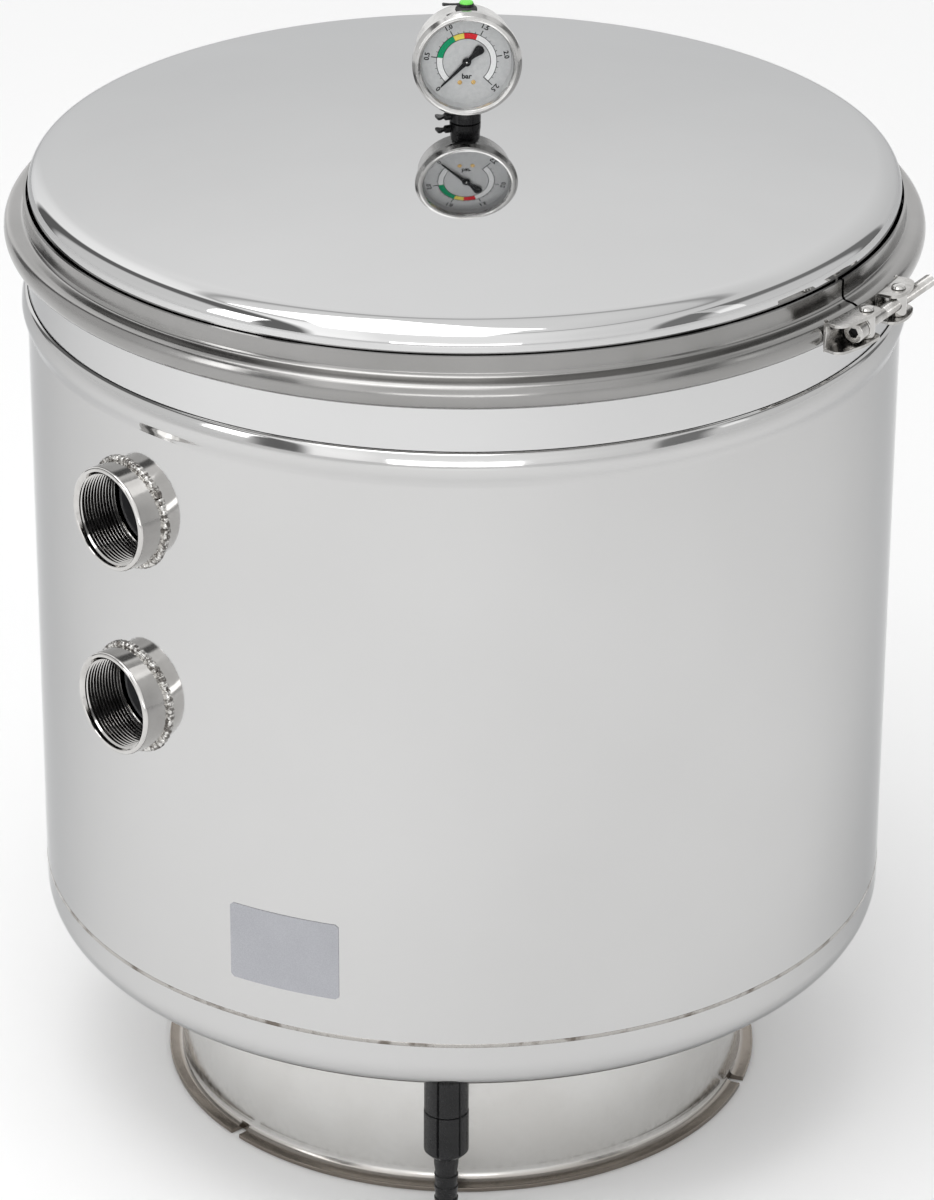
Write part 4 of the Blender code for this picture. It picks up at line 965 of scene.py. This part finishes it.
def make_vent(place):
    """The rubber vent plug on top of the case, its black lever and the lime-green cap."""
    plug = [(0, 0.0342), (0.0048, 0.0342, 0.0006), (0.0066, 0.0330, 0.0006), (0.0069, 0.0315, 0.0004),
            (0.0060, 0.0306), (0.0031, 0.0306), (0.0031, 0.0285), (0, 0.0285)]
    add_turned("vent_stopper", plug, "lid", "rubber", ["vent_plug"], place)
    hub = [(0, 0.0358), (0.0046, 0.0358, 0.0004), (0.0050, 0.0345, 0.0003), (0, 0.0345)]
    add_turned("lever_hub", hub, "lever", "plastic", ["vent_lever"], place)
    sections = []
    stations = ((0.0030, 0.0017, 0.0007), (0.0065, 0.0013, 0.0006), (0.0100, 0.0013, 0.0006),
                (0.0124, 0.0018, 0.0008), (0.0140, 0.0021, 0.0010), (0.0148, 0.0016, 0.0007))
    angles = [2 * math.pi * index / 16 for index in range(16)]
    for reach, wide, thick in stations:
        sections.append([(-reach, wide * math.cos(a), 0.0352 + thick * math.sin(a)) for a in angles])
    add_piece("lever_arm", lofted(sections), "lever", "plastic", place=place, sharp=50)
    cap = [(0, 0.0378), (0.0026, 0.0376), (0.0042, 0.0368, 0.0006), (0.0045, 0.0359, 0.0003),
           (0, 0.0359)]
    add_turned("lime_cap", cap, "lever", "green", ["vent_cap"], place)


def make_bleed():
    """The black bleed fitting under the gauge and its wing screw."""
    low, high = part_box("bleed_fitting")
    seat = high.z - 0.0074
    shoulder = seat + 0.0040
    body = [(0.0052, low.z), (0.0082, low.z, 0.0004), (0.0082, seat), (0.0098, seat, 0.0005),
            (0.0098, shoulder, 0.0005), (0.0094, high.z, 0.0006), (0.0094, CASE_UNDERSIDE_Z),
            (0.0052, CASE_UNDERSIDE_Z)]
    add_turned("bleed_body", body, "lid", "plastic", ["bleed_fitting"])
    place = toward(BLEED_AXIS, (0, 0, shoulder))
    stem = [(0, 0.0100), (0.0026, 0.0100), (0.0026, 0.0132, 0.0004), (0.0017, 0.0140), (0, 0.0140)]
    add_turned("bleed_stem", stem, "bleed", "plastic", ["bleed_screw"], place)
    right = [(0.0016, 0.0125), (0.0019, 0.0150, 0.0010), (0.0036, 0.0172, 0.0012), (0.0034, 0.0190, 0.0010)]
    outline = [(-right[0][0], *right[0][1:])] + right
    outline += [(-x, *others) for x, *others in reversed(right[1:])]
    wing = bevelled(extruded(filleted(outline), -0.0009, 0.0009), 0.0003)
    lean = Matrix(((1, 0, 0, 0), (0, 0, 1, 0), (0, 1, 0, 0), (0, 0, 0, 1)))
    add_piece("bleed_wing", wing, "bleed", "plastic", place=place @ lean)


# ---------------------------------------------------------------- clamp
def clamp_outline():
    outer = [(0.2755, 0.6195), (0.2755, 0.6150), (0.2755, 0.6105), (0.2758, 0.6085), (0.2770, 0.6070),
             (0.2792, 0.6064), (0.2832, 0.6058), (0.2860, 0.6043), (0.2876, 0.6012), (CLAMP_RADIUS, 0.5975),
             (0.2871, 0.5937), (0.2850, 0.5908), (0.2815, 0.5891), (0.2770, 0.5888)]
    inner = [(0.2768, 0.5903), (0.2812, 0.5907), (0.2839, 0.5921), (0.2856, 0.5944), (0.2864, 0.5975),
             (0.2861, 0.6004), (0.2848, 0.6030), (0.2826, 0.6043), (0.2785, 0.6049), (0.2752, 0.6062),
             (0.2739, 0.6083), (0.2739, 0.6150), (0.2739, 0.6195)]
    return smooth(outer, 4) + smooth(inner, 4)


def band(name, body, node, az_start, az_end):
    steps = 150
    outline = clamp_outline()
    sections = []
    for index in range(steps + 1):
        azimuth = az_start + (az_end - az_start) * index / steps
        sections.append([flat(azimuth, radius, height) for radius, height in outline])
    add_piece(name, lofted(sections), body, "clamp", [node], sharp=50)


def closure_point(along, lift=0.0):
    """A point on the screw's line, measured along it from the closure's middle."""
    return flat(CLOSURE_AZ, SCREW_LINE, CLOSURE_Z + lift) + flat(CLOSURE_AZ + 90, along)


def make_lug(side):
    """A channel bracket welded to the band, with rounded plates that hold a riveted pin."""
    az_start, az_end, pin_side = LUGS[side]
    pin_az = CLOSURE_AZ + pin_side * math.degrees(math.atan2(PIN_OFFSET, SCREW_LINE))
    wall_in = CLAMP_RADIUS + GAP
    wall_out = wall_in + LUG_SHEET
    clear = LUG_HALF - LUG_SHEET
    stations = 40
    sections = []
    for index in range(stations + 1):
        azimuth = az_start + (az_end - az_start) * index / stations
        edge = min(azimuth - az_start, az_end - azimuth)
        corner = 0.0042 * (1 - math.sqrt(max(0.0, 1 - (1 - min(1.0, edge)) ** 2)))
        away = abs(azimuth - pin_az) / max(abs(az_start - pin_az), abs(az_end - pin_az))
        reach = LUG_REACH - 0.0045 * away ** 2 - corner
        profile = [(reach, LUG_HALF), (wall_in + 0.0022, LUG_HALF), (wall_in + 0.0006, LUG_HALF - 0.0005),
                   (wall_in, LUG_HALF - 0.0022), (wall_in, -LUG_HALF + 0.0022),
                   (wall_in + 0.0006, -LUG_HALF + 0.0005), (wall_in + 0.0022, -LUG_HALF), (reach, -LUG_HALF),
                   (reach, -clear), (wall_out + 0.0006, -clear), (wall_out, -clear + 0.0006),
                   (wall_out, clear - 0.0006), (wall_out + 0.0006, clear), (reach, clear)]
        sections.append([flat(azimuth, radius, CLOSURE_Z + height) for radius, height in profile])
    body = "band_" + side
    pin_place = Matrix.Translation(closure_point(pin_side * PIN_OFFSET))
    mesh = bevelled(carve(lofted(sections), [rod(0.0034, -0.02, 0.02, 24, pin_place)]), 0.0003, 2, 50)
    add_piece("lug_bracket_" + side, mesh, body, "lug", ["clamp_lug_" + side])
    half = [(0, 0.0121), (0.0022, 0.0119), (0.0038, 0.0112), (0.0045, 0.0101), (0.0045, 0.0098),
            (0.0030, 0.0098), (0.0030, 0.0073), (0.0052, 0.0073), (0.0055, 0.0069)]
    profile = half + [(radius, -height) for radius, height in reversed(half)]
    pin = carve(turned(profile, 40), [rod(0.0044, -0.01, 0.01, 32, toward(flat(CLOSURE_AZ + 90, 1.0)))])
    add_piece("riveted_pin_" + side, pin, "pin_" + side, "turned", ["swivel_pin_" + side], pin_place)
    weld_az = az_start + 0.35 if side == "left" else az_end - 0.35
    for end, height in (("bottom", -0.0094), ("top", 0.0094)):
        path = [flat(weld_az + step * 0.12, wall_in + 0.0004 + 0.0002 * (step % 2), CLOSURE_Z + height)
                for step in range(-2, 3)]
        add_piece("lug_tack_%s_%s" % (side, end), tube(path, 0.0009, 0, 10), body, "weld", sharp=60)


def make_clamp():
    back = CLOSURE_AZ - 180
    slack = math.degrees(GAP / CLAMP_RADIUS)
    band("spring_band_left", "band_left", "clamp_band_left", back + slack, 55.0)
    band("spring_band_right", "band_right", "clamp_band_right", 55.5, back + 360 - slack)
    for side in LUGS:
        make_lug(side)
    place = toward(flat(CLOSURE_AZ + 90, 1.0), closure_point(0.0))
    start, end = SCREW_HEAD
    head_radius = 0.0065
    before = [(0, start), (head_radius - 0.0008, start), (head_radius - 0.0002, start + 0.0003),
              (head_radius, start + 0.0008), (head_radius, end - 0.0003), (head_radius - 0.0003, end),
              (SCREW_RADIUS, end), (SCREW_RADIUS, -0.0010), (SCREW_RADIUS - 0.0004, -0.0004)]
    after = [(SCREW_RADIUS - 0.0010, SCREW_END), (0, SCREW_END)]
    root = SCREW_RADIUS - 0.0006
    screw = threaded(before, 0.0, SCREW_END - 0.0008, SCREW_RADIUS, root, SCREW_PITCH, after, 40)
    screw = carve(screw, [rod(0.0034, start - 0.002, start + 0.004, 6)])
    add_piece("socket_head_screw", screw, "screw", "lug", ["clamp_screw"], place)
    # A black disc down in the hex socket: painted shade for the socket's shadowed depth.
    recess = rod(0.0032, start + 0.0030, start + 0.0039, 6)
    add_piece("screw_socket_painted_shade", recess, "screw", "ink_black", place=place)
    washer = [(0.0070, -0.0276, 0.0003), (0.0070, -0.0260, 0.0003), (0.0043, -0.0260), (0.0043, -0.0276)]
    add_turned("flat_washer", washer, "screw", "turned", ["screw_washer"], place)


def finish_hidden_nodes():
    """Finishes for the CAD solids that stay: parts that only an opened vessel shows."""
    looks = {"drain_stub": "foot", "drain_seal": "rubber", "gauge_boss": "turned", "bourdon_tube": "brass",
             "gauge_movement": "brass", "gauge_stem": "brass"}
    for name, look in looks.items():
        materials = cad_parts[name].data.materials
        materials.clear()
        materials.append(LOOKS[look])


# ---------------------------------------------------------------- studio
# The studio's brightness as (place from 0 to 1, brightness), the three multiplied: from the
# horizon to straight up, from left to right and from the front to the back.
WORLD_UPWARD = ((0.0, 1.16), (0.10, 1.20), (0.30, 1.16), (0.44, 1.17), (0.70, 1.20), (0.80, 1.12),
                (0.83, 0.52), (0.86, 1.05), (0.93, 1.10), (1.0, 1.10))
WORLD_ACROSS = ((0.0, 0.80), (0.09, 0.80), (0.115, 0.16), (0.175, 0.16), (0.20, 1.25), (0.28, 1.20),
                (0.33, 1.03), (0.60, 1.0), (0.74, 0.86), (0.86, 0.80), (0.88, 0.22), (0.93, 0.22),
                (0.95, 0.76), (1.0, 0.76))
WORLD_BEHIND = ((0.0, 1.10), (0.2, 1.06), (0.5, 0.98), (0.8, 0.96), (1.0, 0.96))
WORLD_STRENGTH = 0.94

# Area lights: place, target, size and watts.
LIGHTS = {
    "ceiling": ((-0.45, -0.4, 2.8), (-0.1, -0.2, 0.0), (1.8, 1.4), 15.5),
    "front": ((-0.35, -1.1, 2.0), (-0.2, -0.5, 0.0), (1.2, 0.8), 4),
    "low_front": ((-0.1, -2.9, 0.5), (0, 0, 0.02), (1.6, 0.4), 4.8),
    "left": ((-2.6, -1.6, 1.5), (0, 0, 0.4), (0.7, 1.6), 9),
    "right": ((3.0, -1.2, 1.8), (0, 0, 0.4), (0.5, 1.8), 1.5),
}

CAMERA_PLACE = (0, -3.01186, 1.80948)
CAMERA_LENS = 154.94              # mm, on a 36 mm sensor
CAMERA_DOWN = 26.196              # degrees
CAMERA_YAW = -0.048
CAMERA_ROLL = 0.262


def make_floor():
    mesh = bmesh.new()
    bmesh.ops.create_circle(mesh, cap_ends=True, segments=96, radius=9.0)
    floor = place_object("studio_floor", mesh_data("studio_floor", mesh))
    floor.location.z = -0.0004
    paper = finish("studio paper", (0.93, 0.93, 0.93), (0.92, 0.92, 0.92), (0.8, 0.9), patches=1, grain=40)
    floor.data.materials.append(paper)


def add_light(name, place, target, size, power):
    data = bpy.data.lights.new(name, "AREA")
    data.shape = "RECTANGLE"
    data.size, data.size_y = size
    data.energy = power
    light = place_object(name, data)
    light.location = place
    light.rotation_mode = "QUATERNION"
    light.rotation_quaternion = (Vector(target) - Vector(place)).to_track_quat("-Z", "Y")


def world_ramp(tree, value, stops):
    ramp = add_node(tree, "ValToRGB", {0: value})
    elements = ramp.color_ramp.elements
    for at, _ in stops[1:-1]:
        elements.new(at)
    for element, (at, level) in zip(elements, stops):
        element.position = at
        element.color = (level, level, level, 1.0)
    return ramp.outputs["Color"]


def make_world():
    """A pale studio with dark strips to the left and right and a dim gap high up."""
    world = bpy.data.worlds.new("studio")
    world.use_nodes = True
    tree = world.node_tree
    place = add_node(tree, "TexCoord", {}).outputs["Generated"]
    parts = add_node(tree, "SeparateXYZ", {0: place}).outputs
    level = world_ramp(tree, parts["Z"], WORLD_UPWARD)
    for axis, stops in (("X", WORLD_ACROSS), ("Y", WORLD_BEHIND)):
        factor = world_ramp(tree, spread(tree, parts[axis], 0.0, 1.0, -1.0, 1.0), stops)
        level = blend_colour(tree, 1.0, level, factor, "MULTIPLY")
    background = tree.nodes["Background"].inputs
    background["Strength"].default_value = WORLD_STRENGTH
    tree.links.new(level, background["Color"])
    bpy.context.scene.world = world


def make_camera():
    """A long lens in front of the vessel, looking down at it."""
    data = bpy.data.cameras.new("camera")
    data.sensor_width = 36.0
    data.lens = CAMERA_LENS
    camera = place_object("camera", data)
    place = Matrix.Translation(CAMERA_PLACE)
    for angle, axis in ((CAMERA_YAW, "Z"), (90 - CAMERA_DOWN, "X"), (CAMERA_ROLL, "Z")):
        place = place @ Matrix.Rotation(math.radians(angle), 4, axis)
    camera.matrix_world = place
    bpy.context.scene.camera = camera


def make_studio():
    make_world()
    make_floor()
    make_camera()
    for name, settings in LIGHTS.items():
        add_light(name, *settings)
    bpy.context.scene.view_settings.view_transform = "Standard"


make_shell()
make_neck()
make_head()
make_girth_weld()
make_foot()
make_sockets()
make_sticker()
make_internals()
make_drain()
make_lid()
make_gauge()
make_clamp()
finish_hidden_nodes()
make_studio()
